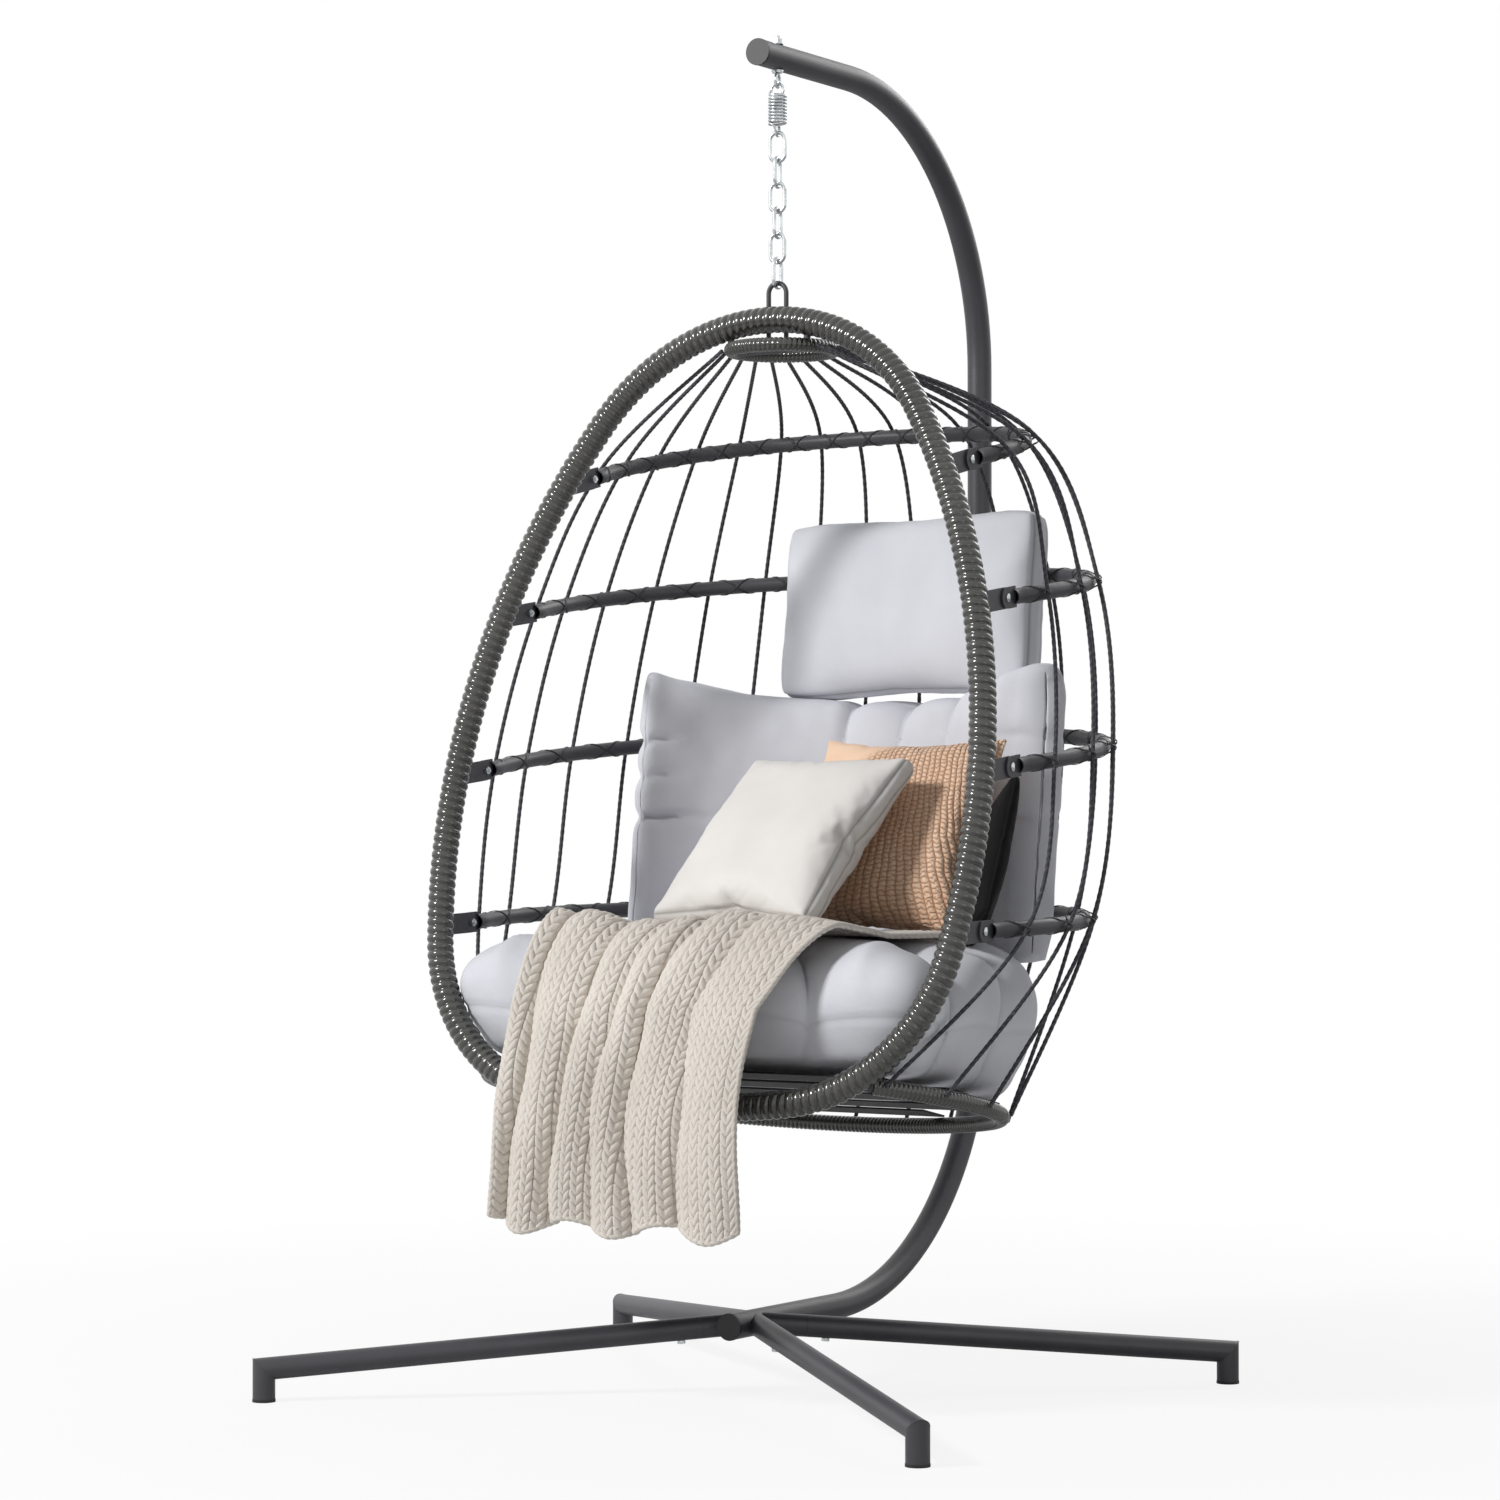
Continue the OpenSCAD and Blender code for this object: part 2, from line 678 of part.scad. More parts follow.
function arc_p1(s) = [s[0] + s[3] * (cos(s[2] - s[4]) - cos(s[2])), s[1] + s[3] * (sin(s[2]) - sin(s[2] - s[4]))];
function back_r(s) = arc_p1(s)[0] / cos(s[2] - s[4]);
function side_len(s) = s[3] * s[4] * PI / 180;
function back_half(s) = back_r(s) * (90 + s[2] - s[4]) * PI / 180;
function arc_len(s) = 2 * (side_len(s) + back_half(s));
function arc_path(s) = [[s[3], s[4]], [back_r(s), 2 * (90 + s[2] - s[4])], [s[3], s[4]]];

// Heading at a length along the right half, from straight back, towards the right
function heading(s, at) = at < side_len(s) ? s[2] - at / s[3] * 180 / PI
  : s[2] - s[4] - (at - side_len(s)) / back_r(s) * 180 / PI;
function right_point(s, at) = let (h = heading(s, at))
  at < side_len(s) ? [s[0] + s[3] * (cos(h) - cos(s[2])), s[1] + s[3] * (sin(s[2]) - sin(h))]
  : let (p = arc_p1(s), g = s[2] - s[4], r = back_r(s)) [p[0] + r * (cos(h) - cos(g)), p[1] + r * (sin(g) - sin(h))];
// Point and outward direction at a length from the left end, in the shape's plane
function arc_point(s, at) = at < arc_len(s) / 2 ? let (p = right_point(s, at)) [-p[0], p[1]]
  : right_point(s, arc_len(s) - at);
function arc_out(s, at) = at < arc_len(s) / 2 ? let (h = heading(s, at)) [-cos(h), -sin(h)]
  : let (h = heading(s, arc_len(s) - at)) [cos(h), -sin(h)];

// From a shape's plane into the basket: hinged up by tilt at the hoop
function lift(p, tilt, base) = [p[0], base[0] + p[1] * cos(tilt), base[1] + p[1] * sin(tilt)];
function lift_dir(d, tilt) = [d[0], d[1] * cos(tilt), d[1] * sin(tilt)];

function bar_shape(i) = [
  bar_half_w[i] + neck_r * (1 - cos(bar_flare[i])),
  bar_stand_off + tail_len + neck_r * sin(bar_flare[i]),
  bar_flare[i], bar_side_r[i], bar_side_turn[i]];
function bar_base(i) = hoop_yz(bar_drop[i]);
low_ring_shape = [hoop_across(low_ring_drop), 0, low_ring_flare, low_ring_side_r, low_ring_side_turn];
low_ring_base = hoop_yz(low_ring_drop);

module in_plane(base, tilt) {
  in_basket() translate([0, base[0], base[1]]) rotate([tilt, 0, 0]) children();
}

bar_r = bar_d / 2;
tab_gap = gap;

// The tab stands inside the bar's flattened end
module bar_tab(i, side, ext) {
  root = hoop_across(bar_drop[i]);
  inner = bar_half_w[i] - tab_t - tab_gap;
  in_plane(bar_base(i), bar_tilt[i]) mirror([side < 0 ? 1 : 0, 0, 0]) {
    difference() {
      union() {
        translate([inner - ext, 0, -tab_h / 2 - ext]) cube([tab_t + 2 * ext, bar_stand_off, tab_h + 2 * ext]);
        translate([inner - ext, bar_stand_off, 0]) rotate([0, 90, 0])
          cylinder(d = tab_h + 2 * ext, h = tab_t + 2 * ext, $fn = round_fn);
      }
      if (ext == 0) translate([0, bar_stand_off, 0]) rotate([0, 90, 0])
        cylinder(d = screw_d + hole_gap, h = root + tab_h, $fn = round_fn);
    }
  }
}

module bar_tabs() {
  color(PAINT) for (i = [0:3], side = [-1, 1]) intersection() {
    bar_tab(i, side, 0);
    behind_hoop(hoop_r + gap);
  }
}

module bar(i) {
  shape = bar_shape(i);
  neck = [neck_r, -bar_flare[i]];
  path = concat([neck], arc_path(shape), [neck]);
  flat_len = tail_len + 6;
  color(PAINT) in_plane(bar_base(i), bar_tilt[i]) difference() {
    union() {
      translate([bar_half_w[i], bar_stand_off + tail_len, 0]) rotate([0, 0, 90]) tube(path, bar_r, bar_wall);
      for (side = [-1, 1]) mirror([side < 0 ? 1 : 0, 0, 0]) {
        translate([bar_half_w[i], bar_stand_off, -tab_h / 2]) cube([tab_t, flat_len, tab_h]);
        translate([bar_half_w[i], bar_stand_off, 0]) rotate([0, 90, 0])
          cylinder(d = tab_h, h = tab_t, $fn = round_fn);
      }
    }
    for (side = [-1, 1]) mirror([side < 0 ? 1 : 0, 0, 0])
      translate([bar_half_w[i] - 1, bar_stand_off, 0]) rotate([0, 90, 0])
        cylinder(d = screw_d + hole_gap, h = tab_t + 2, $fn = round_fn);
  }
}

module screw_places() {
  for (i = [0:3], side = [-1, 1])
    in_plane(bar_base(i), bar_tilt[i]) mirror([side < 0 ? 1 : 0, 0, 0])
      translate([bar_half_w[i], bar_stand_off, 0]) rotate([0, 90, 0]) children();
}

module bar_screws() {
  stack = 2 * tab_t + tab_gap;
  color(ZINC) screw_places() {
    translate([0, 0, tab_t + gap]) intersection() {
      cylinder(d = 2 * screw_d, h = 3, $fn = round_fn);
      translate([0, 0, 3 - 2 * screw_d]) sphere(d = 4 * screw_d, $fn = 2 * round_fn);
    }
    translate([0, 0, -stack - 5]) cylinder(d = screw_d, h = stack + tab_t + 6, $fn = round_fn);
  }
}

module bar_nuts() {
  color(ZINC) screw_places() translate([0, 0, -tab_t - 2 * tab_gap - 5]) difference() {
    hex(screw_d * 1.7, 5);
    translate([0, 0, -1]) cylinder(d = screw_d + 0.1, h = 7, $fn = round_fn);
  }
}

module on_low_ring() {
  in_plane(low_ring_base, -low_ring_tilt) translate([low_ring_shape[0], 0, 0])
    rotate([0, 0, 90 - low_ring_flare]) children();
}

// The first stretch of the bottom ring's tube at each end, for the holes it passes
module low_ring_ends(r) {
  for (m = [0, 1]) in_basket() mirror([m, 0, 0]) translate([0, -hang_y, -hang_z])
    on_low_ring() run([[low_ring_side_r, low_ring_side_turn / 3]], r);
}

module bottom_ring() {
  color(PAINT) intersection() {
    on_low_ring() tube(arc_path(low_ring_shape), low_tube_d / 2, bar_wall);
    behind_hoop(hoop_r + gap);
  }
}

module bottom_ring_wrap() {
  color(RATTAN) intersection() {
    on_low_ring() tube(arc_path(low_ring_shape), low_wrap_r, low_wrap_r - low_tube_d / 2 - gap);
    behind_hoop(wrap_r + gap);
  }
}

low_wrap_r = low_wrap_d / 2;
low_ring_depth = arc_point(low_ring_shape, arc_len(low_ring_shape) / 2)[1];

// Half width of the bottom ring at a distance behind the hoop, found along its right half
function ring_across(y, lo = 0, hi = -1, n = 0) = let (top = hi < 0 ? arc_len(low_ring_shape) / 2 : hi, mid = (lo + top) / 2)
  n > 14 ? right_point(low_ring_shape, mid)[0]
  : right_point(low_ring_shape, mid)[1] < y ? ring_across(y, mid, top, n + 1) : ring_across(y, lo, mid, n + 1);

module seat_straps() {
  first = 60;
  last = low_ring_depth - 70;
  color(BLACK) in_plane(low_ring_base, -low_ring_tilt)
    for (k = [0:strap_count - 1]) {
      y = first + (last - first) * k / (strap_count - 1);
      half = min(ring_across(y - strap_w / 2), ring_across(y + strap_w / 2));
      translate([-half, y - strap_w / 2, low_wrap_r + gap]) cube([2 * half, strap_w, strap_t]);
    }
}

// ---- ropes and lacing ----

rope_r = rope_d / 2;
lace_in = (bar_r + gap) / cos(180 / 8);
rope_off = lace_in + lace_t + gap + rope_r;
rope_margin = [60, 62, 66, 62];

// Where rope k crosses a shape: the point on the tube's axis and the outward direction there
function rope_at(s, m, k) = m + (arc_len(s) - 2 * m) * k / (rope_count - 1);
function bar_margin(i) = rope_margin[i] - tail_len - neck_r * sin(bar_flare[i]) / 2;
function bar_axis(i, k) = let (s = bar_shape(i))
  lift(arc_point(s, rope_at(s, bar_margin(i), k)), bar_tilt[i], bar_base(i));
function bar_out(i, k) = let (s = bar_shape(i)) lift_dir(arc_out(s, rope_at(s, bar_margin(i), k)), bar_tilt[i]);
ring_margin = 45;
function ring_axis(k) = let (s = low_ring_shape)
  lift(arc_point(s, rope_at(s, ring_margin, k)), -low_ring_tilt, low_ring_base);
function ring_out(k) = let (s = low_ring_shape) lift_dir(arc_out(s, rope_at(s, ring_margin, k)), -low_ring_tilt);
function top_rope_point(k) = let (a = 205 - 230 * k / (rope_count - 1), r = top_ring_r + top_wrap_d / 2 + gap + rope_r)
  [r * cos(a), top_ring_back + r * sin(a), -top_ring_drop];

// A rope stands off each tube square to its own run over that tube
function stand_off(p, o, before, after, d) = let (t = unit(after - before)) p + d * unit(o - (o * t) * t);
function rope_stops(k) = let (
  top = top_rope_point(k), axes = [for (i = [0:3]) bar_axis(i, k)], low = ring_axis(k),
  all_axes = concat([top], axes, [low]))
  concat([top],
    [for (i = [0:3]) stand_off(axes[i], bar_out(i, k), all_axes[i], all_axes[i + 2], rope_off)],
    [low + (low_wrap_r + rope_r + gap) * ring_out(k)]);

// A smooth curve through the stops, three steps between stops
function smooth(p, steps) = concat([for (i = [0:len(p) - 2], j = [0:steps - 1]) let (
    t = j / steps, a = p[max(i - 1, 0)], b = p[i], c = p[i + 1], d = p[min(i + 2, len(p) - 1)],
    m = (c - a) / 2, n = (d - b) / 2)
  b + t * m + t * t * (3 * (c - b) - 2 * m - n) + t * t * t * (2 * (b - c) + m + n)], [p[len(p) - 1]]);

module rope(k) {
  stops = rope_stops(k);
  middle = stops[2];
  in_basket() swept_tube(smooth(stops, 3), rope_r, 6, unit([-middle[1], middle[0], 0]));
}

function share(from, to) = [for (k = [round(from * (rope_count - 1)):round(to * (rope_count - 1))]) k];

module ropes(list) {
  color(ROPE) for (k = list) rope(k);
}

// The lacing strip as one unbroken winding, eight steps to a turn
module bar_lacing(i) {
  s = bar_shape(i);
  margin = 6;
  steps = 8 * lace_turns;
  span = arc_len(s) - 2 * margin;
  points = [for (n = [0:steps]) let (
      at = margin + span * n / steps, a = 45 * n + 22.5,
      p = arc_point(s, at), o = arc_out(s, at), along = [o[1], -o[0]])
    for (c = [[0, -1], [0, 1], [1, 1], [1, -1]]) let (
        r = lace_in + c[0] * lace_t, q = p + r * cos(a) * o + c[1] * lace_w / 2 * along)
      lift([q[0], q[1]], bar_tilt[i], bar_base(i)) + r * sin(a) * [0, -sin(bar_tilt[i]), cos(bar_tilt[i])]];
  color(ROPE) in_basket() polyhedron(points = points, faces = tube_faces(steps + 1, 4));
}

// ---- soft goods ----

// A closed skin over rings of equal size, with a pole point at each end
function skin_faces(rings, sides) = let (a = rings * sides, b = a + 1) concat(
  [for (k = [0:sides - 1]) [a, k, (k + 1) % sides]],
  [for (i = [0:rings - 2], k = [0:sides - 1]) let (p = i * sides + k, q = i * sides + (k + 1) % sides)
    each [[p, p + sides, q], [q, p + sides, q + sides]]],
  [for (k = [0:sides - 1]) let (e = (rings - 1) * sides) [b, e + (k + 1) % sides, e + k]]);

module skin(rings, first, last) {
  points = concat([for (r = rings) each r], [first, last]);
  polyhedron(points = points, faces = skin_faces(len(rings), len(rings[0])));
}

function superround(a, n) = 1 / pow(pow(abs(cos(a)), n) + pow(abs(sin(a)), n), 1 / n);

// Seat: petals round a crowned pad, tufted between petals, on the sloping straps
seat_floor = low_wrap_r + gap + strap_t + gap;
seat_mid_y = -36;
seat_top = low_ring_base[1] + seat_rise;
function strap_z(y) = low_ring_base[1] + (y - low_ring_base[0]) * -tan(low_ring_tilt) + seat_floor / cos(low_ring_tilt);
function petal(a) = pow(abs(sin(a * seat_petals / 2)), 0.5);
function seat_point(a, t, level) = let (
    reach = superround(a, sin(a) < 0 ? 8 : 3) * (1 - 0.045 * (1 - petal(a)) * t * t) * t,
    x = seat_w / 2 * reach * cos(a), y = seat_mid_y + seat_depth / 2 * reach * sin(a),
    low = strap_z(y), high = seat_top - 14 * t - 12 * (1 - petal(a)) * t)
  [x, y, low + (high - low) * level];

module seat_cushion() {
  sides = 5 * seat_petals;
  rows = [[0.45, 1], [0.78, 0.985], [0.93, 0.9], [0.99, 0.74], [0.99, 0.52], [0.93, 0.28], [0.84, 0.09], [0.55, 0]];
  rings = [for (r = rows) [for (k = [0:sides - 1]) seat_point(-360 * k / sides, r[0], r[1])]];
  color(GREY_CLOTH) in_basket() skin(rings, seat_point(0, 0, 1), seat_point(0, 0, 0));
}

// Back: an upright pad round the back of the basket, with channels and raised wings
back_low = seat_top - 39.2;
back_span = 58;
function back_outer(z) = let (f = (z - back_low) / back_h) [421.2 + 18 * min(1, f), 310.2 + 46 * min(1, f)];
function channel(a) = pow(abs(sin((a - 90) / (2 * back_span) * 180 * back_channels + 90 * (1 - back_channels % 2))), 0.6);
function back_ring(a) = let (
    f = abs(a - 90) / back_span, top = back_h + wing_rise * f * f, edge = 1 - 0.25 * pow(f, 6))
  [for (q = [[0, 0.1], [0, 0.5], [0, 0.9], [0.12, 0.99], [0.5, 1], [0.88, 0.98], [1, 0.86], [1.02, 0.68],
      [0.94, 0.5], [1.02, 0.32], [1, 0.14], [0.85, 0.02], [0.5, 0], [0.12, 0.01]]) let (
      z = back_low + q[1] * top - (q[1] > 0.8 ? 9 * (1 - channel(a)) : 0),
      o = back_outer(z), depth = q[0] * back_t * edge * (0.84 + 0.16 * channel(a)),
      n = unit([cos(a) * o[1], sin(a) * o[0]]))
    [o[0] * cos(a) - depth * n[0], o[1] * sin(a) - depth * n[1], z]];

module back_cushion() {
  steps = 6 * back_channels;
  rings = [for (k = [0:steps]) back_ring(90 + back_span - 2 * back_span * k / steps)];
  function mean(r, i = 0) = i == len(r) ? [0, 0, 0] : r[i] / len(r) + mean(r, i + 1);
  color(GREY_CLOTH) in_basket() skin(rings, mean(rings[0]), mean(rings[steps]));
}

// A square pillow lying flat: crowned, with its sides drawn in between the corners
module pillow(w, h, t) {
  sides = 24;
  rows = [[0.5, 0.95], [0.84, 0.6], [1, 0.06], [0.84, -0.6], [0.5, -0.95]];
  rings = [for (r = rows) [for (k = [0:sides - 1]) let (
      a = -360 * k / sides, s = superround(a, 8) * (1 - 0.05 * pow(cos(2 * a), 2)) * r[0])
    [w / 2 * s * cos(a), h / 2 * s * sin(a), t / 2 * r[1]]]];
  skin(rings, [0, 0, t / 2], [0, 0, -t / 2]);
}

module head_cushion() {
  color(GREY_CLOTH) in_basket() translate([52, 300, -460]) rotate([0, 0, -4]) rotate([82, 0, 0])
    pillow(head_w, head_h, head_t);
}

module white_pillow() {
  color(WHITE_CLOTH) in_basket() translate([61, -90, seat_top + 126.4]) rotate([0, 0, -13]) rotate([47, 0, 0])
    pillow(pillow_w, pillow_w, pillow_t);
}

module peach_pillow() {
  color(PEACH_CLOTH) in_basket() translate([168, 36, seat_top + 141.8]) rotate([0, 0, -4]) rotate([64, 0, 0])
    pillow(pillow_w, pillow_w, pillow_t * 0.9);
}

module black_pillow() {
  color(BLACK) in_basket() translate([360, 26, seat_top + 88.4]) rotate([0, 0, -60]) rotate([74, 0, 0])
    pillow(pillow_w * 0.66, pillow_w * 0.7, pillow_t * 0.4);
}

// Throw: its middle line from the seat over the front edge to the hem, as [y, z] from the seat's top
throw_line = [[-70, 3], [-115, 2], [-162, 1], [-210, 0], [-257, -10], [-295, -37], [-317, -80], [-332, -128],
  [-347, -176], [-358, -228], [-362, -284], [-360, -340], [-356, -396]];

function throw_point(i, u, lift_by) = let (
    f = max(0, (i - 2) / (len(throw_line) - 3)), a = 180 * throw_folds * 2 * u,
    wave = fold_depth * min(1, 2.2 * f) / 2 * cos(a), p = throw_line[i],
    q = throw_line[min(i + 1, len(throw_line) - 1)], o = throw_line[max(i - 1, 0)],
    d = unit(q - o), n = [d[1], -d[0]], h = wave + lift_by,
    spread = max(0, 1 - i / 6), x = -12 + 75 * spread - 26 * f + (u - 0.5) * throw_w * (1 + 0.36 * spread))
  [x, p[0] + h * n[0], p[1] + h * n[1]];

module knit_throw() {
  rows = len(throw_line);
  cols = 4 * throw_folds + 1;
  face = [for (side = [0, 1], i = [0:rows - 1], j = [0:cols - 1])
    throw_point(i, j / (cols - 1), (0.5 - side) * throw_t)];
  function at(side, i, j) = side * rows * cols + i * cols + j;
  faces = concat(
    [for (i = [0:rows - 2], j = [0:cols - 2]) each [
      [at(1, i, j), at(1, i + 1, j), at(1, i, j + 1)], [at(1, i, j + 1), at(1, i + 1, j), at(1, i + 1, j + 1)],
      [at(0, i, j), at(0, i, j + 1), at(0, i + 1, j)], [at(0, i, j + 1), at(0, i + 1, j + 1), at(0, i + 1, j)]]],
    [for (i = [0:rows - 2]) each [
      [at(0, i, 0), at(0, i + 1, 0), at(1, i, 0)], [at(1, i, 0), at(0, i + 1, 0), at(1, i + 1, 0)],
      [at(0, i, cols - 1), at(1, i, cols - 1), at(0, i + 1, cols - 1)],
      [at(1, i, cols - 1), at(1, i + 1, cols - 1), at(0, i + 1, cols - 1)]]],
    [for (j = [0:cols - 2]) each [
      [at(0, 0, j), at(1, 0, j), at(0, 0, j + 1)], [at(0, 0, j + 1), at(1, 0, j), at(1, 0, j + 1)],
      [at(0, rows - 1, j), at(0, rows - 1, j + 1), at(1, rows - 1, j)],
      [at(0, rows - 1, j + 1), at(1, rows - 1, j + 1), at(1, rows - 1, j)]]]);
  color(KNIT) in_basket() translate([0, 0, seat_top + 0.1]) polyhedron(points = face, faces = faces);
}

pole_lower();
pole_upper();
pole_bolts();
pole_nuts();
arm_end_cap();
base_end_cap();
leg(-1, -1);  // leg_front_left
leg(1, -1);  // leg_front_right
leg(-1, 1);  // leg_rear_left
leg(1, 1);  // leg_rear_right
foot_cap(-1, -1);  // foot_cap_front_left
foot_cap(1, -1);  // foot_cap_front_right
foot_cap(-1, 1);  // foot_cap_rear_left
foot_cap(1, 1);  // foot_cap_rear_right
leg_bolts();
eye_bolt();
eye_washer(arm_h - pole_r - washer_t);  // eye_washer_lower
eye_washer(arm_h + pole_r);  // eye_washer_upper
eye_nut();
spring();
chain_link(1);  // link_1
chain_link(2);  // link_2
chain_link(3);  // link_3
chain_link(4);  // link_4
chain_link(5);  // link_5
chain_link(6);  // link_6
hanger_loop();
hoop_tube();
hoop_wrap();
bar_tabs();
top_ring();
top_ring_wrap();
bottom_ring();
bottom_ring_wrap();
seat_straps();
bar_screws();
bar_nuts();
bar(0);  // bar_1
bar(1);  // bar_2
bar(2);  // bar_3
bar(3);  // bar_4
bar_lacing(0);  // bar_lacing_1
bar_lacing(1);  // bar_lacing_2
bar_lacing(2);  // bar_lacing_3
bar_lacing(3);  // bar_lacing_4
ropes(share(0, 0.19));  // ropes_left
ropes(share(0.25, 0.38));  // ropes_back_left
ropes(share(0.44, 0.56));  // ropes_back
ropes(share(0.62, 0.75));  // ropes_back_right
ropes(share(0.81, 1));  // ropes_right
seat_cushion();
back_cushion();
head_cushion();
white_pillow();
peach_pillow();
black_pillow();
knit_throw();
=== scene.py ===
import math
from functools import partial

import bpy
import numpy as np
from mathutils import Euler, Matrix, Vector, noise


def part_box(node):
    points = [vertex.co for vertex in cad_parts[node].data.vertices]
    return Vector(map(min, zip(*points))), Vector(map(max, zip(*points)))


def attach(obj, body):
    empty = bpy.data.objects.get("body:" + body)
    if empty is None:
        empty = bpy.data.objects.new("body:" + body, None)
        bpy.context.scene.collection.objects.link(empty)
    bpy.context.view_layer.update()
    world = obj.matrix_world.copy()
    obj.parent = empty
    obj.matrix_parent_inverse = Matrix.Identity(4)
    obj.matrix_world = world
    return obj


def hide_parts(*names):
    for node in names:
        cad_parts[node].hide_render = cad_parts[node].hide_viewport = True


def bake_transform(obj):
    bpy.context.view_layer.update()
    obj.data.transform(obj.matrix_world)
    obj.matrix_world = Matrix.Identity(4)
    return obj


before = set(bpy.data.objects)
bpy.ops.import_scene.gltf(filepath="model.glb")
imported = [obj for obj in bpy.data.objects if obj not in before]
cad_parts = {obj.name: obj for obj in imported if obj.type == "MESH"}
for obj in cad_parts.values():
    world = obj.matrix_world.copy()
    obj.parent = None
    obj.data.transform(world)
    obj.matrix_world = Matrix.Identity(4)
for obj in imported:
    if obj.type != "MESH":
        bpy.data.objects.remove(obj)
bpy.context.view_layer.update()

# Lengths are metres and turns degrees, in the row frame: X to the right, Y from front to back, Z up. HANG is the
# middle of the rod at the top of the hanger loop. The basket is measured from it.
LOOP_ROD = 0.007
loop_low, loop_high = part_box("hanger_loop")
HANG = np.array([0.0, (loop_low.y + loop_high.y) / 2, loop_high.z - LOOP_ROD / 2])

# Hoop: its arcs are (radius, turn) from the top down one side
HOOP_LEAN = math.radians(13.8)
HOOP_DROP = 0.056
HOOP_WRAP_R = 0.0195
HOOP_ARCS = [(0.318, 57.0), (1.090, 43.0), (0.264, 73.0)]
GAP = 0.0003  # between pieces that touch
APEX_Y = -(HOOP_WRAP_R + LOOP_ROD / 2 + GAP)
HOOP_PITCH, HOOP_GROOVE = 0.0125, 0.0042

# Cross bars, from the top one down
BAR_DROP = [0.239, 0.439, 0.679, 0.904]
BAR_HALF_W = [0.325, 0.408, 0.446, 0.433]
BAR_TILT = [12.5, 8.0, 6.5, 2.0]
BAR_FLARE = [14.0, 20.0, 20.0, 23.0]
BAR_SIDE_R = [0.232, 0.288, 0.330, 0.306]
BAR_SIDE_TURN = [91.0, 98.0, 92.0, 92.0]
BAR_R = 0.011
BAR_STAND_OFF = 0.075
NECK_R = 0.060
TAIL_LEN = 0.018

# Rings
TOP_RING_R = 0.075
TOP_RING_DROP = 0.096
TOP_RING_BACK = 0.014
TOP_WRAP_R = 0.0105
LOW_RING_DROP = 1.112
LOW_RING_FLARE = 51.0
LOW_RING_SIDE_R = 0.252
LOW_RING_SIDE_TURN = 101.0
LOW_RING_TILT = -11.3
LOW_WRAP_R = 0.012
LOW_WRAP_END = 0.032
RING_PITCH, TOP_GROOVE, LOW_GROOVE = 0.0068, 0.002, 0.0024

# Ropes and lacing
ROPE_R, ROPE_LAY, ROPE_STEP = 0.0032, 0.011, 0.0028
ROPE_COUNT = 17
ROPE_FIRST_TURN, ROPE_TURN_SPAN = 205, 230
ROPE_MARGIN = [0.060, 0.062, 0.066, 0.062]
RING_MARGIN = 0.045
LACE_T, LACE_W = 0.0009, 0.0038
LACE_END, LACE_STEP = 0.006, 0.0022
LACE_BOW_TURN, LACE_BOW_ALONG, LACE_CLEAR = 0.42, 0.13, 0.0035  # radians, share of the ropes' spacing, metres

# Seat webbing
STRAP_COUNT, STRAP_W, STRAP_T, STRAP_FIRST, STRAP_END = 5, 0.064, 0.003, 0.060, 0.070
STRAP_RIB, STRAP_RIB_H = 0.0052, 0.0005

# Spring
SPRING_TOP = 1.8747
CHAIN_TURN = 15.0
COIL_R, COIL_PITCH = 0.012, 0.0047
COIL_START, COIL_SPAN, COIL_POINTS = 220.0, 3250.0, 240
HOOK_R, HOOK_RISE = 0.009, 0.008
HOOK_BEND = [(-COIL_R + 0.0016, -0.0016, 0.0036), (-COIL_R + 0.001, -0.0046, 0.001)]  # from the hook into the coil
SPRING_WIRE_R = 0.002


# ---------- small tools ----------

def unit(v):
    """The vector, or each row of several, made 1 long."""
    return v / np.linalg.norm(v, axis=-1, keepdims=True)


def path_length(p):
    return np.linalg.norm(np.diff(p, axis=0), axis=1).sum()


def turn_z(deg):
    c, s = math.cos(math.radians(deg)), math.sin(math.radians(deg))
    return np.array([[c, -s, 0], [s, c, 0], [0, 0, 1]])


def turn_x(deg):
    c, s = math.cos(math.radians(deg)), math.sin(math.radians(deg))
    return np.array([[1, 0, 0], [0, c, -s], [0, s, c]])


def bell(x, width):
    """1 at 0, and falling away on both sides."""
    return np.exp(-(x / width) ** 2)


def ease(x, start, end):
    """From 0 at start to 1 at end, level at both."""
    t = np.clip((x - start) / (end - start), 0, 1)
    return t * t * (3 - 2 * t)


def resample(points, step, closed=False):
    """Points at even distances along a line, and those distances."""
    p = np.asarray(points, float)
    if closed:
        p = np.vstack([p, p[:1]])
    along = np.concatenate([[0], np.cumsum(np.linalg.norm(np.diff(p, axis=0), axis=1))])
    count = max(2, round(along[-1] / step))
    at = np.linspace(0, along[-1], count + 1)
    out = np.stack([np.interp(at, along, p[:, k]) for k in range(3)], axis=1)
    return (out[:-1], at[:-1]) if closed else (out, at)


def smooth_line(stops, steps):
    """A Catmull-Rom curve through the stops."""
    p = [np.asarray(s, float) for s in stops]
    out = []
    for i in range(len(p) - 1):
        a, b, c, d = p[max(i - 1, 0)], p[i], p[i + 1], p[min(i + 2, len(p) - 1)]
        m, n = (c - a) / 2, (d - b) / 2
        for t in np.arange(steps) / steps:
            out.append(b + t * m + t * t * (3 * (c - b) - 2 * m - n) + t ** 3 * (2 * (b - c) + m + n))
    out.append(p[-1])
    return np.array(out)


def line_frames(points, first_normal, closed=False):
    """Tangent, normal and binormal at each point, the normal carried along without twist."""
    p = np.asarray(points)
    ahead = np.roll(p, -1, axis=0) - np.roll(p, 1, axis=0)
    if not closed:
        ahead[0], ahead[-1] = p[1] - p[0], p[-1] - p[-2]
    t = unit(ahead)
    n = np.empty_like(t)
    last = np.asarray(first_normal, float)
    for i in range(len(p)):
        last = unit(last - (last @ t[i]) * t[i])
        n[i] = last
    return t, n, np.cross(t, n)


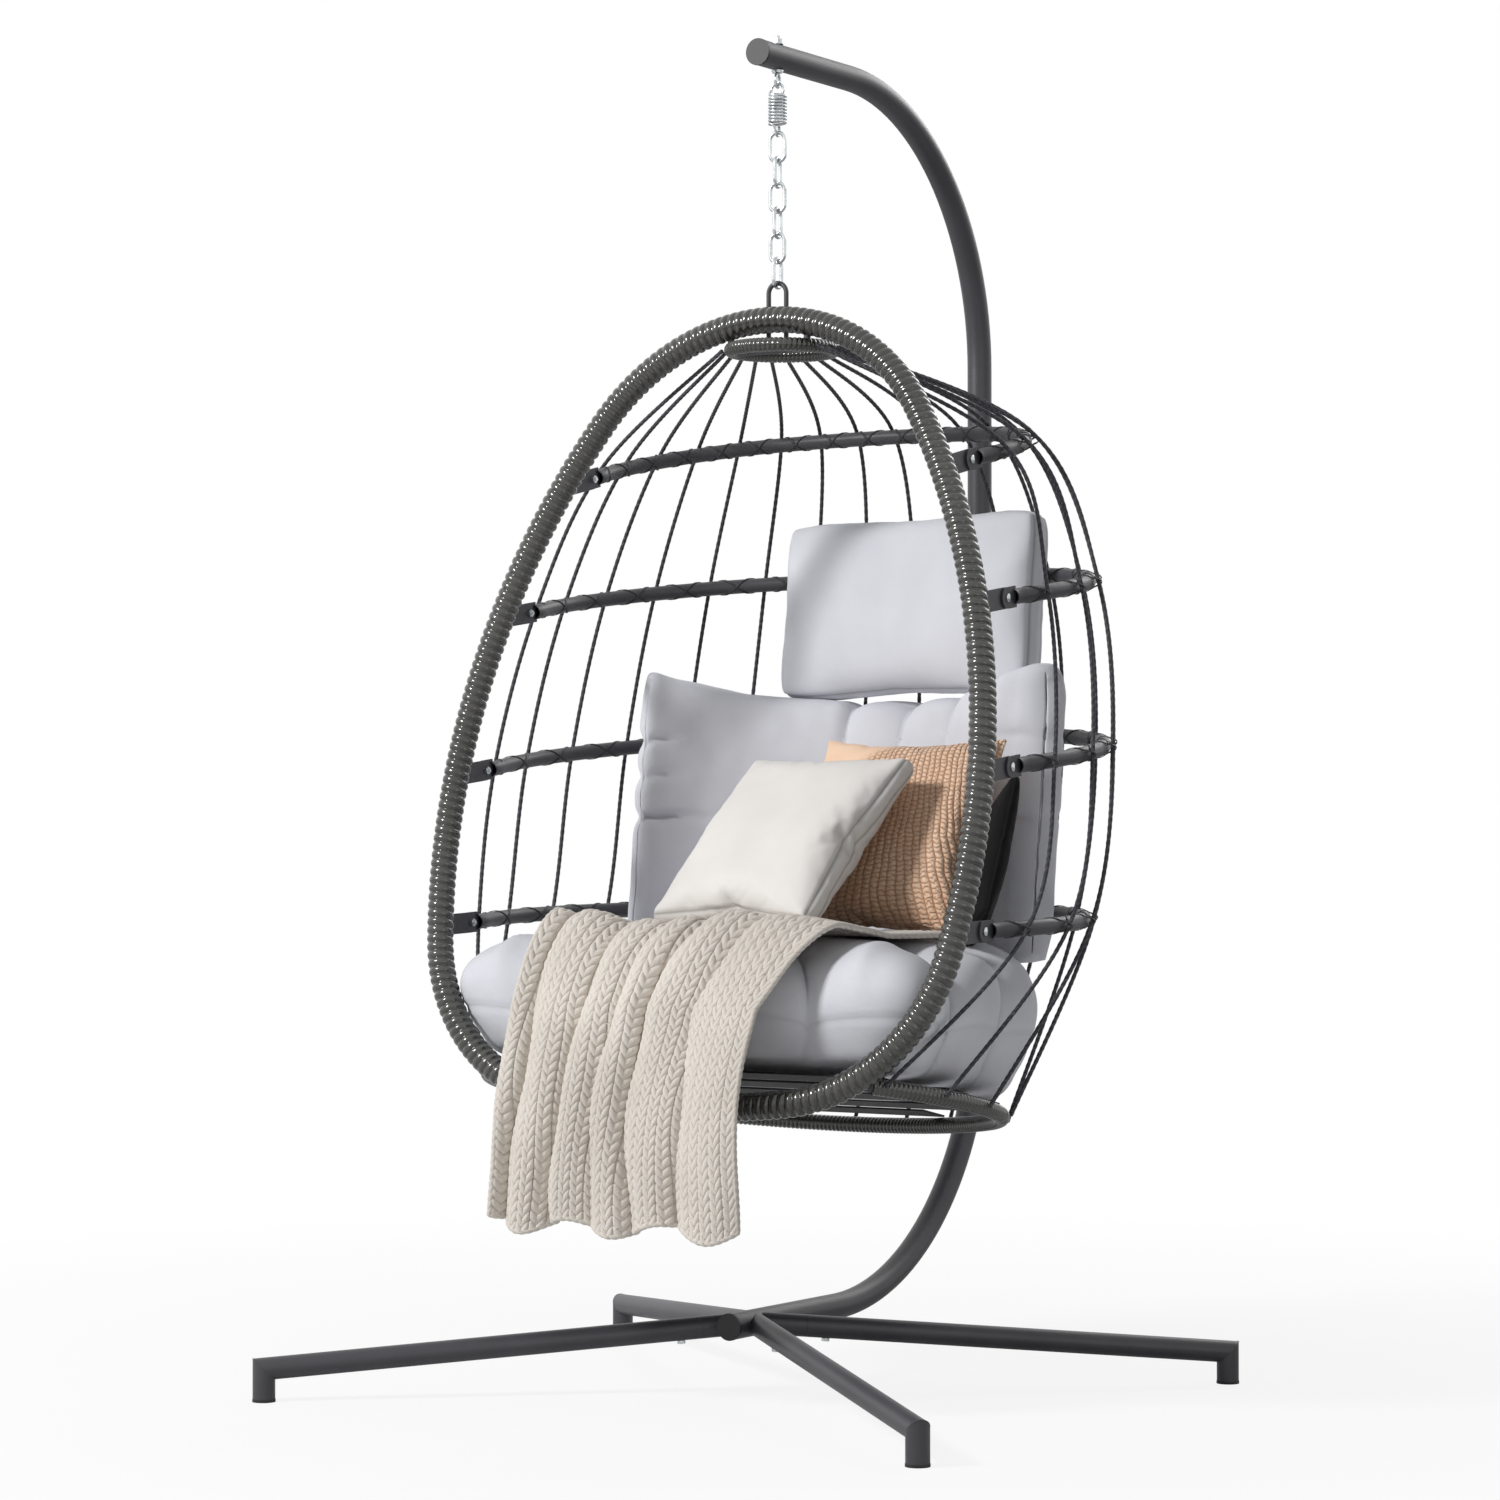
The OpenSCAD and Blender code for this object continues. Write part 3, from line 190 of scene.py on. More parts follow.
def new_mesh(name, verts, faces, material, body, smooth=True):
    mesh = bpy.data.meshes.new(name)
    mesh.from_pydata([tuple(v) for v in verts], [], [[int(k) for k in f] for f in faces])
    mesh.validate()
    obj = bpy.data.objects.new(name, mesh)
    bpy.context.scene.collection.objects.link(obj)
    if smooth:
        mesh.polygons.foreach_set("use_smooth", [True] * len(mesh.polygons))
    mesh.materials.append(material)
    if body:
        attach(obj, body)
    return obj


def grid_faces(rows, cols, wrap_rows=False, wrap_cols=False):
    """Four-sided faces between the points of a grid that is stored row by row."""
    i = np.arange(rows if wrap_rows else rows - 1)[:, None]
    j = np.arange(cols if wrap_cols else cols - 1)[None, :]
    a = i * cols + j
    b = ((i + 1) % rows) * cols + j
    c = ((i + 1) % rows) * cols + (j + 1) % cols
    d = i * cols + (j + 1) % cols
    return np.stack(np.broadcast_arrays(a, b, c, d), axis=-1).reshape(-1, 4)


def tube_faces(rows, sides, closed=False):
    """Faces round a tube of rows of points, and one face over each end unless it is closed in a loop."""
    faces = list(grid_faces(rows, sides, closed, True))
    return faces if closed else faces + [range(sides)[::-1], range((rows - 1) * sides, rows * sides)]


def put_attribute(obj, name, values):
    """Keeps for the materials each point's mark, its depth in a groove or seam, which the materials darken as painted
    shade, or its place on the flat cloth.
    """
    values = np.asarray(values, np.float32).reshape(len(obj.data.vertices), -1)
    kind, field = ("FLOAT", "value") if values.shape[1] == 1 else ("FLOAT_VECTOR", "vector")
    obj.data.attributes.new(name, kind, "POINT").data.foreach_set(field, values.ravel())


def tube_mesh(name, points, radius, sides, normal, material, body, closed=False, shape=None, marks=None):
    """A round bar along points. shape(along, angle) gives the radius, marks(along, angle) its mark."""
    p, at = points
    _, n, b = line_frames(p, normal, closed)
    angle = np.arange(sides) * 2 * math.pi / sides
    r = np.full((len(p), sides), radius) if shape is None else shape(at[:, None], angle[None, :])
    ring = (n[:, None, :] * np.cos(angle)[None, :, None] + b[:, None, :] * np.sin(angle)[None, :, None])
    verts = (p[:, None, :] + ring * r[:, :, None]).reshape(-1, 3)
    obj = new_mesh(name, verts, tube_faces(len(p), sides, closed), material, body)
    if marks is not None:
        put_attribute(obj, "mark", marks(at[:, None], angle[None, :]))
    return obj


def hand_in(obj, node_name):
    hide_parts(node_name)


def join(objects, name):
    """One object from several with the same material and body."""
    bpy.ops.object.select_all(action="DESELECT")
    for o in objects:
        o.select_set(True)
    bpy.context.view_layer.objects.active = objects[0]
    bpy.ops.object.join()
    objects[0].name = name
    return objects[0]


# ---------- materials ----------

def link(tree, a, b):
    tree.links.new(a, b)


def node(tree, kind, inputs=None, **settings):
    made = tree.nodes.new(kind)
    for key, value in settings.items():
        setattr(made, key, value)
    for key, value in (inputs or {}).items():
        if isinstance(value, bpy.types.NodeSocket):
            link(tree, value, made.inputs[key])
        else:
            made.inputs[key].default_value = value
    return made


def calc_node(tree, operation, *values, clamp=False):
    return node(tree, "ShaderNodeMath", dict(enumerate(values)), operation=operation, use_clamp=clamp).outputs[0]


def mix_colours(tree, share, a, b):
    return node(tree, "ShaderNodeMix", {"Factor": share, "A": a, "B": b}, data_type="RGBA").outputs["Result"]


def map_range(tree, value, low, high, to_low=0.0, to_high=1.0):
    return node(tree, "ShaderNodeMapRange", {
        "Value": value, "From Min": low, "From Max": high, "To Min": to_low, "To Max": to_high}).outputs[0]


def clouds(tree, place, scale, detail=2.0):
    return node(tree, "ShaderNodeTexNoise", {"Vector": place, "Scale": scale, "Detail": detail}).outputs["Fac"]


def object_place(tree):
    return node(tree, "ShaderNodeTexCoord").outputs["Object"]


def cloth_place(tree):
    """The point's place on the flat cloth, and its X and Y."""
    place = node(tree, "ShaderNodeAttribute", attribute_name="cloth_place").outputs["Vector"]
    axes = node(tree, "ShaderNodeSeparateXYZ", {"Vector": place}).outputs
    return place, axes["X"], axes["Y"]


def shader_group(name, build, inputs, outputs):
    tree = bpy.data.node_groups.new(name, "ShaderNodeTree")
    for labels, way in ((inputs, "INPUT"), (outputs, "OUTPUT")):
        for label in labels:
            kind = "NodeSocketColor" if label in ("Dark", "Light", "Colour", "Groove") else "NodeSocketFloat"
            tree.interface.new_socket(label, in_out=way, socket_type=kind)
    start, end = tree.nodes.new("NodeGroupInput"), tree.nodes.new("NodeGroupOutput")
    build(tree, start.outputs, end.inputs)
    return tree


def build_two_tone(tree, given, out):
    """Colour that drifts between two tones, with a finer grain on top."""
    calc = partial(calc_node, tree)
    place = object_place(tree)
    broad = clouds(tree, place, given["Patch Scale"], 3.0)
    fine = clouds(tree, place, given["Grain Scale"])
    share = calc("ADD", calc("MULTIPLY", broad, 0.65), calc("MULTIPLY", fine, 0.35))
    link(tree, mix_colours(tree, map_range(tree, share, 0.35, 0.65), given["Dark"], given["Light"]), out["Colour"])
    link(tree, fine, out["Grain"])


def build_weave(tree, given, out):
    """Over-and-under threads in the cloth's own flat coordinates."""
    calc = partial(calc_node, tree)
    place, x, y = cloth_place(tree)
    count = calc("DIVIDE", math.pi, given["Thread"])
    warp = calc("SINE", calc("MULTIPLY", x, count))
    weft = calc("SINE", calc("MULTIPLY", y, count))
    cross = calc("ABSOLUTE", calc("MULTIPLY", warp, weft))
    slub = clouds(tree, place, given["Slub Scale"])
    height = calc("ADD", calc("MULTIPLY", cross, 0.6), calc("MULTIPLY", slub, 0.4))
    link(tree, height, out["Height"])


def build_groove(tree, given, out):
    """Painted shade: darkens a colour where the mesh marks a groove or a hollow."""
    calc = partial(calc_node, tree)
    mark = node(tree, "ShaderNodeAttribute", attribute_name="mark").outputs["Fac"]
    depth = calc("POWER", mark, given["Sharpness"])
    share = calc("MULTIPLY", depth, given["Strength"], clamp=True)
    link(tree, mix_colours(tree, share, given["Colour"], given["Groove"]), out["Colour"])


def build_smock(tree, given, out):
    """Gathered columns of small beads in the cloth's flat coordinates, plain near one top corner."""
    calc = partial(calc_node, tree)
    place, x, y = cloth_place(tree)
    bent = calc("ADD", x, calc("MULTIPLY", clouds(tree, place, 26.0), 0.012))
    # The columns draw together a little towards the pillow's top edge.
    bent = calc("MULTIPLY", bent, calc("MULTIPLY_ADD", y, 2.4, 1.0))
    column = calc("ABSOLUTE", calc("SINE", calc("MULTIPLY", bent, given["Columns"])))
    shift = calc("MULTIPLY", calc("ROUND", calc("MULTIPLY", bent, 75.0)), 2.1)
    rows = calc("ADD", calc("MULTIPLY", y, given["Beads"]), shift)
    rows = calc("ADD", rows, calc("MULTIPLY", clouds(tree, place, 130.0), 3.6))
    bead = calc("POWER", calc("ABSOLUTE", calc("SINE", rows)), 0.7)
    height = calc("MULTIPLY", calc("POWER", column, 0.6), calc("MULTIPLY_ADD", bead, 0.85, 0.15))
    plain = map_range(tree, calc("SUBTRACT", y, x), 0.135, 0.165)
    link(tree, calc("MAXIMUM", height, plain), out["Height"])


COLUMN_W, BEAD_H = 0.0105, 0.0070
TWO_TONE = shader_group("two tone surface", build_two_tone, ["Dark", "Light", "Patch Scale", "Grain Scale"],
                        ["Colour", "Grain"])
WEAVE = shader_group("plain weave", build_weave, ["Thread", "Slub Scale"], ["Height"])
SMOCK = shader_group("smocked beads", build_smock, ["Columns", "Beads"], ["Height"])
# Painted shade for grooves, seams and hollows: the groove colour is mixed in by the mark.
GROOVE = shader_group("groove shade", build_groove, ["Colour", "Groove", "Strength", "Sharpness"], ["Colour"])


def rgb(*screen):
    """A colour given as it looks on a screen, 0 to 255, as linear values."""
    return tuple(((c / 255 + 0.055) / 1.055) ** 2.4 if c > 10 else c / 255 / 12.92 for c in screen) + (1.0,)


def use(tree, group, **values):
    """A group's outputs. Its inputs are given by name, with _ for each space."""
    inputs = {key.replace("_", " "): value for key, value in values.items()}
    return node(tree, "ShaderNodeGroup", inputs, node_tree=group).outputs


def new_material(name, roughness, **sockets):
    mat = bpy.data.materials.new(name)
    mat.use_nodes = True
    shader = mat.node_tree.nodes["Principled BSDF"].inputs
    for key, value in {"Roughness": roughness, **sockets}.items():
        shader[key.replace("_", " ")].default_value = value
    return mat


def toned(name, dark, light, patch, grain, roughness, **sockets):
    """A material and its two-tone colour; patch and grain are the scales of the drift and of the fine relief."""
    mat = new_material(name, roughness, **sockets)
    tone = use(mat.node_tree, TWO_TONE, Dark=dark, Light=light, Patch_Scale=patch, Grain_Scale=grain)
    return mat, mat.node_tree, tone


def surface(mat, colour, height, strength, distance):
    """Gives the material its colour and its fine relief."""
    tree = mat.node_tree
    shader = tree.nodes["Principled BSDF"].inputs
    link(tree, colour, shader["Base Color"])
    relief = node(tree, "ShaderNodeBump", {"Height": height, "Strength": strength, "Distance": distance})
    link(tree, relief.outputs["Normal"], shader["Normal"])
    return mat


def coated_steel(name, dark, light, roughness=0.42):
    mat, _, tone = toned(name, dark, light, 9.0, 900.0, roughness)
    return surface(mat, tone["Colour"], tone["Grain"], 0.12, 0.0004)


def zinc_plate(name, dark, light):
    mat, tree, tone = toned(name, dark, light, 60.0, 700.0, 0.24, Metallic=1.0)
    rough = map_range(tree, tone["Grain"], 0.0, 1.0, 0.16, 0.36)
    link(tree, rough, tree.nodes["Principled BSDF"].inputs["Roughness"])
    return surface(mat, tone["Colour"], tone["Grain"], 0.15, 0.0003)


def moulded_plastic(name, dark, light):
    mat, _, tone = toned(name, dark, light, 30.0, 1200.0, 0.5)
    return surface(mat, tone["Colour"], tone["Grain"], 0.25, 0.0003)


def rattan_strip(name, dark, light, groove):
    mat, tree, tone = toned(name, dark, light, 5.0, 500.0, 0.2, Specular_IOR_Level=0.6, Coat_Weight=0.5,
                            Coat_Roughness=0.12)
    # groove is a painted shade colour for the grooves between the wound ribs.
    groove_shaded = use(tree, GROOVE, Colour=tone["Colour"], Groove=groove, Strength=1.0, Sharpness=1.0)
    return surface(mat, groove_shaded["Colour"], tone["Grain"], 0.2, 0.0004)


def twisted_cord(name, dark, light, fleck, groove):
    mat, tree, tone = toned(name, dark, light, 40.0, 900.0, 0.75)
    spots = node(tree, "ShaderNodeTexVoronoi", {"Vector": object_place(tree), "Scale": 420.0})
    share = map_range(tree, spots.outputs["Distance"], 0.16, 0.3, 1.0, 0.0)
    flecked = mix_colours(tree, share, tone["Colour"], fleck)
    # groove is a painted shade colour for the grooves between the strands.
    groove_shaded = use(tree, GROOVE, Colour=flecked, Groove=groove, Strength=0.8, Sharpness=1.0)
    return surface(mat, groove_shaded["Colour"], tone["Grain"], 0.4, 0.0006)


def cloth(name, dark, light, thread=0.0011, roughness=0.85, depth=0.35, sheen=0.15):
    mat, tree, tone = toned(name, dark, light, 7.0, 1500.0, roughness, Sheen_Weight=sheen, Sheen_Roughness=0.5,
                            Specular_IOR_Level=0.25)
    weave = use(tree, WEAVE, Thread=thread, Slub_Scale=90.0)
    # Painted shade for the marked seams and hollows of the cloth.
    shade = tuple(0.45 * c for c in dark[:3]) + (1.0,)
    groove_shaded = use(tree, GROOVE, Colour=tone["Colour"], Groove=shade, Strength=0.8, Sharpness=3.5)
    return surface(mat, groove_shaded["Colour"], weave["Height"], depth, 0.0006)


def smocked_cloth(name, dark, light, hollow):
    mat, tree, tone = toned(name, dark, light, 9.0, 900.0, 0.85, Sheen_Weight=0.15, Sheen_Roughness=0.5,
                            Specular_IOR_Level=0.2)
    height = use(tree, SMOCK, Columns=math.pi / COLUMN_W, Beads=math.pi / BEAD_H)["Height"]
    # hollow is painted shade, mixed in where the beads' height is low.
    colour = mix_colours(tree, map_range(tree, height, 0.15, 0.6), hollow, tone["Colour"])
    return surface(mat, colour, height, 0.85, 0.004)


STAND_PAINT = coated_steel("satin stand paint", rgb(55, 54, 58), rgb(67, 65, 70))
BASKET_PAINT = coated_steel("satin basket paint", rgb(56, 56, 60), rgb(68, 68, 72), 0.45)
BLACK_PLASTIC = moulded_plastic("black cap plastic", rgb(18, 18, 20), rgb(30, 30, 32))
ZINC = zinc_plate("bright zinc", rgb(176, 180, 184), rgb(226, 230, 230))
# The rattan's third colour is painted shade for the grooves between its ribs.
RATTAN = rattan_strip("grey rattan strip", rgb(47, 46, 43), rgb(69, 68, 64), rgb(24, 24, 22))
# The rope's fourth colour is painted shade between its strands; the third is its light flecks.
ROPE = twisted_cord("charcoal rope", rgb(48, 48, 54), rgb(74, 74, 82), rgb(150, 150, 158), rgb(22, 22, 24))
LACING = moulded_plastic("black lacing strip", rgb(26, 26, 29), rgb(44, 44, 47))
WEBBING = cloth("black seat webbing", rgb(20, 20, 22), rgb(34, 34, 36), 0.0022)
GREY_CLOTH = cloth("pale grey cushion cloth", rgb(208, 209, 216), rgb(222, 223, 229))
WHITE_CLOTH = cloth("off-white pillow linen", rgb(224, 220, 216), rgb(236, 233, 229), 0.0014)
# The peach cloth's third colour is painted shade between the beads.
PEACH_CLOTH = smocked_cloth("peach smocked cloth", rgb(238, 197, 165), rgb(249, 218, 190), rgb(206, 152, 118))
BLACK_CLOTH = cloth("black pillow cloth", rgb(4, 4, 5), rgb(8, 8, 9), 0.0016, 0.95, sheen=0.0)
KNIT = cloth("cream chunky knit", rgb(206, 199, 190), rgb(226, 219, 210), 0.0035, 0.95, depth=0.6, sheen=0.3)

CORNERS = ["front_left", "front_right", "rear_left", "rear_right"]
NODE_FINISH = {
    STAND_PAINT: ["pole_lower", "pole_upper"] + [f"leg_{c}" for c in CORNERS],
    BASKET_PAINT: ["hoop_tube", "hanger_loop", "bar_tabs", "top_ring", "bottom_ring"] + [
        f"bar_{k}" for k in range(1, 5)],
    BLACK_PLASTIC: ["arm_end_cap", "base_end_cap"] + [f"foot_cap_{c}" for c in CORNERS],
    ZINC: ["pole_bolts", "pole_nuts", "leg_bolts", "eye_bolt", "eye_washer_lower", "eye_washer_upper", "eye_nut",
           "bar_screws", "bar_nuts"] + [f"link_{k}" for k in range(1, 7)],
}


def finish_nodes():
    for material, names in NODE_FINISH.items():
        for name in names:
            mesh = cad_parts[name].data
            mesh.materials.clear()
            mesh.materials.append(material)


# ---------- camera, light and floor ----------

CAMERA_PLACE, CAMERA_LENS, SENSOR_W = (3.149, -5.0678, 0.8313), 98.06, 36.0
CAMERA_HEADING, CAMERA_PITCH = 32.4654, 0.878
ROOM_LIGHT = 0.24
FLOOR_HALF, FADE_START, FADE_END = 14.0, 0.9, 2.6


def make_camera():
    data = bpy.data.cameras.new("camera")
    data.lens, data.sensor_width = CAMERA_LENS, SENSOR_W
    camera = bpy.data.objects.new("camera", data)
    turns = Euler(np.radians((90 + CAMERA_PITCH, 0, CAMERA_HEADING)))
    camera.matrix_world = Matrix.LocRotScale(CAMERA_PLACE, turns, None)
    bpy.context.scene.collection.objects.link(camera)
    bpy.context.scene.camera = camera


def area_light(name, place, target, size, power):
    data = bpy.data.lights.new(name, "AREA")
    data.shape, data.energy = "RECTANGLE", power
    data.size, data.size_y = size
    lamp = bpy.data.objects.new(name, data)
    lamp.location = place
    lamp.rotation_euler = (Vector(target) - Vector(place)).to_track_quat("-Z", "Y").to_euler()
    bpy.context.scene.collection.objects.link(lamp)


def make_light():
    area_light("key", (-2.5, -4.25, 3.8), (0, 0, 1.0), (0.9, 0.9), 255)
    area_light("fill", (4.2, -2.6, 1.8), (0, 0, 1.0), (1.4, 2.4), 9)
    area_light("back", (0.5, 3.8, 3.4), (0, 0, 1.1), (2.6, 1.6), 50)
    world = bpy.data.worlds.new("studio")
    world.use_nodes = True
    tree = world.node_tree
    tree.nodes.clear()
    path = node(tree, "ShaderNodeLightPath").outputs
    soft, white = (node(tree, "ShaderNodeBackground", {"Color": (1, 1, 1, 1), "Strength": strength}).outputs[0]
                   for strength in (ROOM_LIGHT, 1.0))
    # Seen directly, through a piece or as a reflection, the room is white; as a light it is weak.
    seen = calc_node(tree, "MAXIMUM", path["Is Transmission Ray"], path["Is Glossy Ray"])
    seen = calc_node(tree, "MAXIMUM", path["Is Camera Ray"], seen)
    mixed = node(tree, "ShaderNodeMixShader", {0: seen, 1: soft, 2: white})
    node(tree, "ShaderNodeOutputWorld", {"Surface": mixed.outputs[0]})
    bpy.context.scene.world = world
    bpy.context.scene.view_settings.view_transform = "Standard"


def make_floor():
    """A pale floor that turns white with the distance from the stand."""
    mat = new_material("pale floor", 0.9, Base_Color=(0.82, 0.82, 0.82, 1))
    tree = mat.node_tree
    path = node(tree, "ShaderNodeLightPath").outputs
    glow = node(tree, "ShaderNodeEmission", {"Color": (1, 1, 1, 1), "Strength": 1.0})
    away = node(tree, "ShaderNodeVectorMath", {0: object_place(tree)}, operation="LENGTH").outputs["Value"]
    share = calc_node(tree, "MULTIPLY", path["Is Camera Ray"], map_range(tree, away, FADE_START, FADE_END, 0.86, 1.0))
    pale = tree.nodes["Principled BSDF"].outputs[0]
    mixed = node(tree, "ShaderNodeMixShader", {0: share, 1: pale, 2: glow.outputs[0]})
    link(tree, mixed.outputs[0], tree.nodes["Material Output"].inputs["Surface"])
    corners = [(x * FLOOR_HALF, y * FLOOR_HALF, 0) for x, y in ((-1, -1), (1, -1), (1, 1), (-1, 1))]
    floor = new_mesh("floor", corners, [(0, 1, 2, 3)], mat, None, smooth=False)


# ---------- basket lines ----------

def arc_line(arcs, step=0.004):
    """Points along arcs (radius, turn in degrees) from 0, 0, where the line heads along X; left turns positive."""
    x, y, heading = 0.0, 0.0, 0.0
    out = [(x, y)]
    for radius, turn in arcs:
        side = math.copysign(1, turn)
        cx, cy = x - side * radius * math.sin(heading), y + side * radius * math.cos(heading)
        count = max(2, round(radius * abs(math.radians(turn)) / step))
        for k in range(1, count + 1):
            h = heading + math.radians(turn) * k / count
            out.append((cx + side * radius * math.sin(h), cy - side * radius * math.cos(h)))
        heading += math.radians(turn)
        x, y = out[-1]
    return np.array(out)


def hoop_line():
    """The hoop's axis: drawn in its own plane from the top, closed by one arc at the bottom, and leant back."""
    turned = sum(t for _, t in HOOP_ARCS)
    right = [(r, -t) for r, t in HOOP_ARCS]
    low_r = arc_line(right)[-1][0] / math.sin(math.radians(turned))
    x, v = arc_line(right + [(low_r, -2 * (180 - turned))] + right[::-1])[:-1].T
    return HANG + np.stack([x, APEX_Y + v * math.sin(HOOP_LEAN), -HOOP_DROP + v * math.cos(HOOP_LEAN)], axis=1)


def hoop_across(down):
    """Half width of the hoop at a distance below its top."""
    x, v = arc_line([(r, -t) for r, t in HOOP_ARCS]).T
    return float(np.interp(down, -v, x))


class BackArc:
    """A bar or the bottom ring: side, back and side arcs in one tilted plane behind the hoop."""

    def __init__(self, half_w, start, flare, side_r, side_turn, tilt, drop):
        self.tilt = math.radians(tilt)
        self.base = (APEX_Y - drop * math.sin(HOOP_LEAN), -HOOP_DROP - drop * math.cos(HOOP_LEAN))
        f, g = math.radians(flare), math.radians(flare) - math.radians(side_turn)
        x = half_w + side_r * (math.cos(g) - math.cos(f))
        y = start + side_r * (math.sin(f) - math.sin(g))
        back_r = x / math.cos(g)
        self.side_len = side_r * math.radians(side_turn)
        self.length = 2 * (self.side_len + back_r * (math.pi / 2 + g))
        # The side arc and the right half of the back arc: where each starts, its radius and its heading there
        self.side, self.back = (half_w, start, side_r, f), (x, y, back_r, g)

    def at(self, s):
        """The tube's axis and its outward direction at a length from the left end."""
        right = s >= self.length / 2
        a = self.length - s if right else s
        x, y, r, g = self.side if a < self.side_len else self.back
        h = g - (a if a < self.side_len else a - self.side_len) / r
        x, y = x + r * (math.cos(h) - math.cos(g)), y + r * (math.sin(g) - math.sin(h))
        side = 1 if right else -1
        return self.lift((side * x, y)), self.turn((side * math.cos(h), -math.sin(h)))

    def lift(self, p):
        c, s = math.cos(self.tilt), math.sin(self.tilt)
        return HANG + np.array([p[0], self.base[0] + p[1] * c, self.base[1] + p[1] * s])

    def turn(self, d):
        return np.array([d[0], d[1] * math.cos(self.tilt), d[1] * math.sin(self.tilt)])

    @property
    def up(self):
        return np.array([0, -math.sin(self.tilt), math.cos(self.tilt)])


def bar_arc(i):
    flare = math.radians(BAR_FLARE[i])
    half_w = BAR_HALF_W[i] + NECK_R * (1 - math.cos(flare))
    start = BAR_STAND_OFF + TAIL_LEN + NECK_R * math.sin(flare)
    return BackArc(half_w, start, BAR_FLARE[i], BAR_SIDE_R[i], BAR_SIDE_TURN[i], BAR_TILT[i], BAR_DROP[i])


BARS = [bar_arc(i) for i in range(4)]
LOW_RING = BackArc(hoop_across(LOW_RING_DROP), 0.0, LOW_RING_FLARE, LOW_RING_SIDE_R, LOW_RING_SIDE_TURN,
                   LOW_RING_TILT, LOW_RING_DROP)
LACE_IN = (BAR_R + GAP) / math.cos(math.radians(180 / 8))  # the lacing bears on the corners of an eight-sided round
ROPE_OFF = LACE_IN + LACE_T + GAP + ROPE_R


def bar_margin(i):
    return ROPE_MARGIN[i] - TAIL_LEN - NECK_R * math.sin(math.radians(BAR_FLARE[i])) / 2


def crossing(arc, margin, k):
    """Length along the arc at which rope k crosses it."""
    return margin + (arc.length - 2 * margin) * k / (ROPE_COUNT - 1)


def rope_stops(k):
    """Places on the axis of rope k: at the top ring, over each bar, and behind the bottom ring."""
    a = math.radians(ROPE_FIRST_TURN - ROPE_TURN_SPAN * k / (ROPE_COUNT - 1))
    r = TOP_RING_R + TOP_WRAP_R + GAP + ROPE_R
    top = HANG + np.array([r * math.cos(a), TOP_RING_BACK + r * math.sin(a), -TOP_RING_DROP])
    low, low_out = LOW_RING.at(crossing(LOW_RING, RING_MARGIN, k))
    marks = [bar.at(crossing(bar, bar_margin(i), k)) for i, bar in enumerate(BARS)]
    axes = [top] + [p for p, _ in marks] + [low]
    stops = [top]
    for i, (p, out) in enumerate(marks):
        t = unit(axes[i + 2] - axes[i])
        stops.append(p + ROPE_OFF * unit(out - (out @ t) * t))
    stops.append(low + (LOW_WRAP_R + ROPE_R + GAP) * low_out)
    return stops


# ---------- basket pieces ----------

def wound(name, points, normal, radius, pitch, depth, node_name, closed=False, *, sides):
    """Round strip wound side by side: each turn is a rounded rib, slanted by one pitch a turn."""
    per_turn = 8
    length = path_length(np.vstack([points, points[:1]]) if closed else points)
    true_pitch = length / round(length / pitch)
    line = resample(points, true_pitch / per_turn, closed)

    def across(at, angle):
        return 2 * np.mod(at / true_pitch + angle / (2 * math.pi), 1.0) - 1

    def shape(at, angle):
        return radius - depth * (1 - np.sqrt(1 - 0.985 * across(at, angle) ** 2))

    # The mark rises towards each rib's edges, where the rattan paints shade into the grooves.
    obj = tube_mesh(name, line, radius, sides, normal, RATTAN, "basket", closed, shape,
                    lambda at, angle: np.abs(across(at, angle)) ** 3)
    hand_in(obj, node_name)


def make_windings():
    hoop_normal = (0, -math.cos(HOOP_LEAN), math.sin(HOOP_LEAN))
    wound("hoop_winding", hoop_line(), hoop_normal, HOOP_WRAP_R, HOOP_PITCH, HOOP_GROOVE, "hoop_wrap", True, sides=28)
    a = np.linspace(0, 2 * math.pi, 181)[:-1]
    ring = HANG + np.stack([TOP_RING_R * np.cos(a), TOP_RING_BACK + TOP_RING_R * np.sin(a),
                            np.full_like(a, -TOP_RING_DROP)], axis=1)
    wound("top_ring_winding", ring, (0, 0, 1), TOP_WRAP_R, RING_PITCH, TOP_GROOVE, "top_ring_wrap", True, sides=16)
    low = np.array([LOW_RING.at(s)[0] for s in np.linspace(LOW_WRAP_END, LOW_RING.length - LOW_WRAP_END, 400)])
    wound("bottom_ring_winding", low, LOW_RING.up, LOW_WRAP_R, RING_PITCH, LOW_GROOVE, "bottom_ring_wrap", sides=18)


ROPE_GROUPS = {"ropes_left": range(0, 4), "ropes_back_left": range(4, 7), "ropes_back": range(7, 10),
               "ropes_back_right": range(10, 13), "ropes_right": range(13, 17)}


def rope_strands(along, angle):
    """1 on the two strands of a rope and -1 in the grooves between them."""
    return np.cos(2 * angle - 2 * math.pi * along / ROPE_LAY)


def make_ropes():
    for group, numbers in ROPE_GROUPS.items():
        made = []
        for k in numbers:
            line = resample(smooth_line(rope_stops(k), 14), ROPE_STEP)
            # The mark paints shade into the grooves between the two strands.
            made.append(tube_mesh(
                f"rope_{k}", line, ROPE_R, 8, (0.3, -1, 0.2), ROPE, "basket",
                shape=lambda s, a: ROPE_R * (0.93 + 0.07 * rope_strands(s, a)),
                marks=lambda s, a: 0.5 - 0.5 * rope_strands(s, a)))
        hand_in(join(made, group.replace("ropes", "rope_run")), group)


def lace_mesh(name, points, faces_out):
    """A flat strip along points, each with the direction its broad side faces."""
    p = np.asarray(points)
    t = unit(np.gradient(p, axis=0))
    across = unit(np.cross(t, faces_out))
    out = np.cross(across, t)
    corners = [(-1, -1), (-0.6, 1), (0.6, 1), (1, -1)]
    verts = np.stack([p + across * (a * LACE_W / 2) + out * (b * LACE_T / 2) for a, b in corners], axis=1)
    return new_mesh(name, verts.reshape(-1, 3), tube_faces(len(p), 4), LACING, "basket")


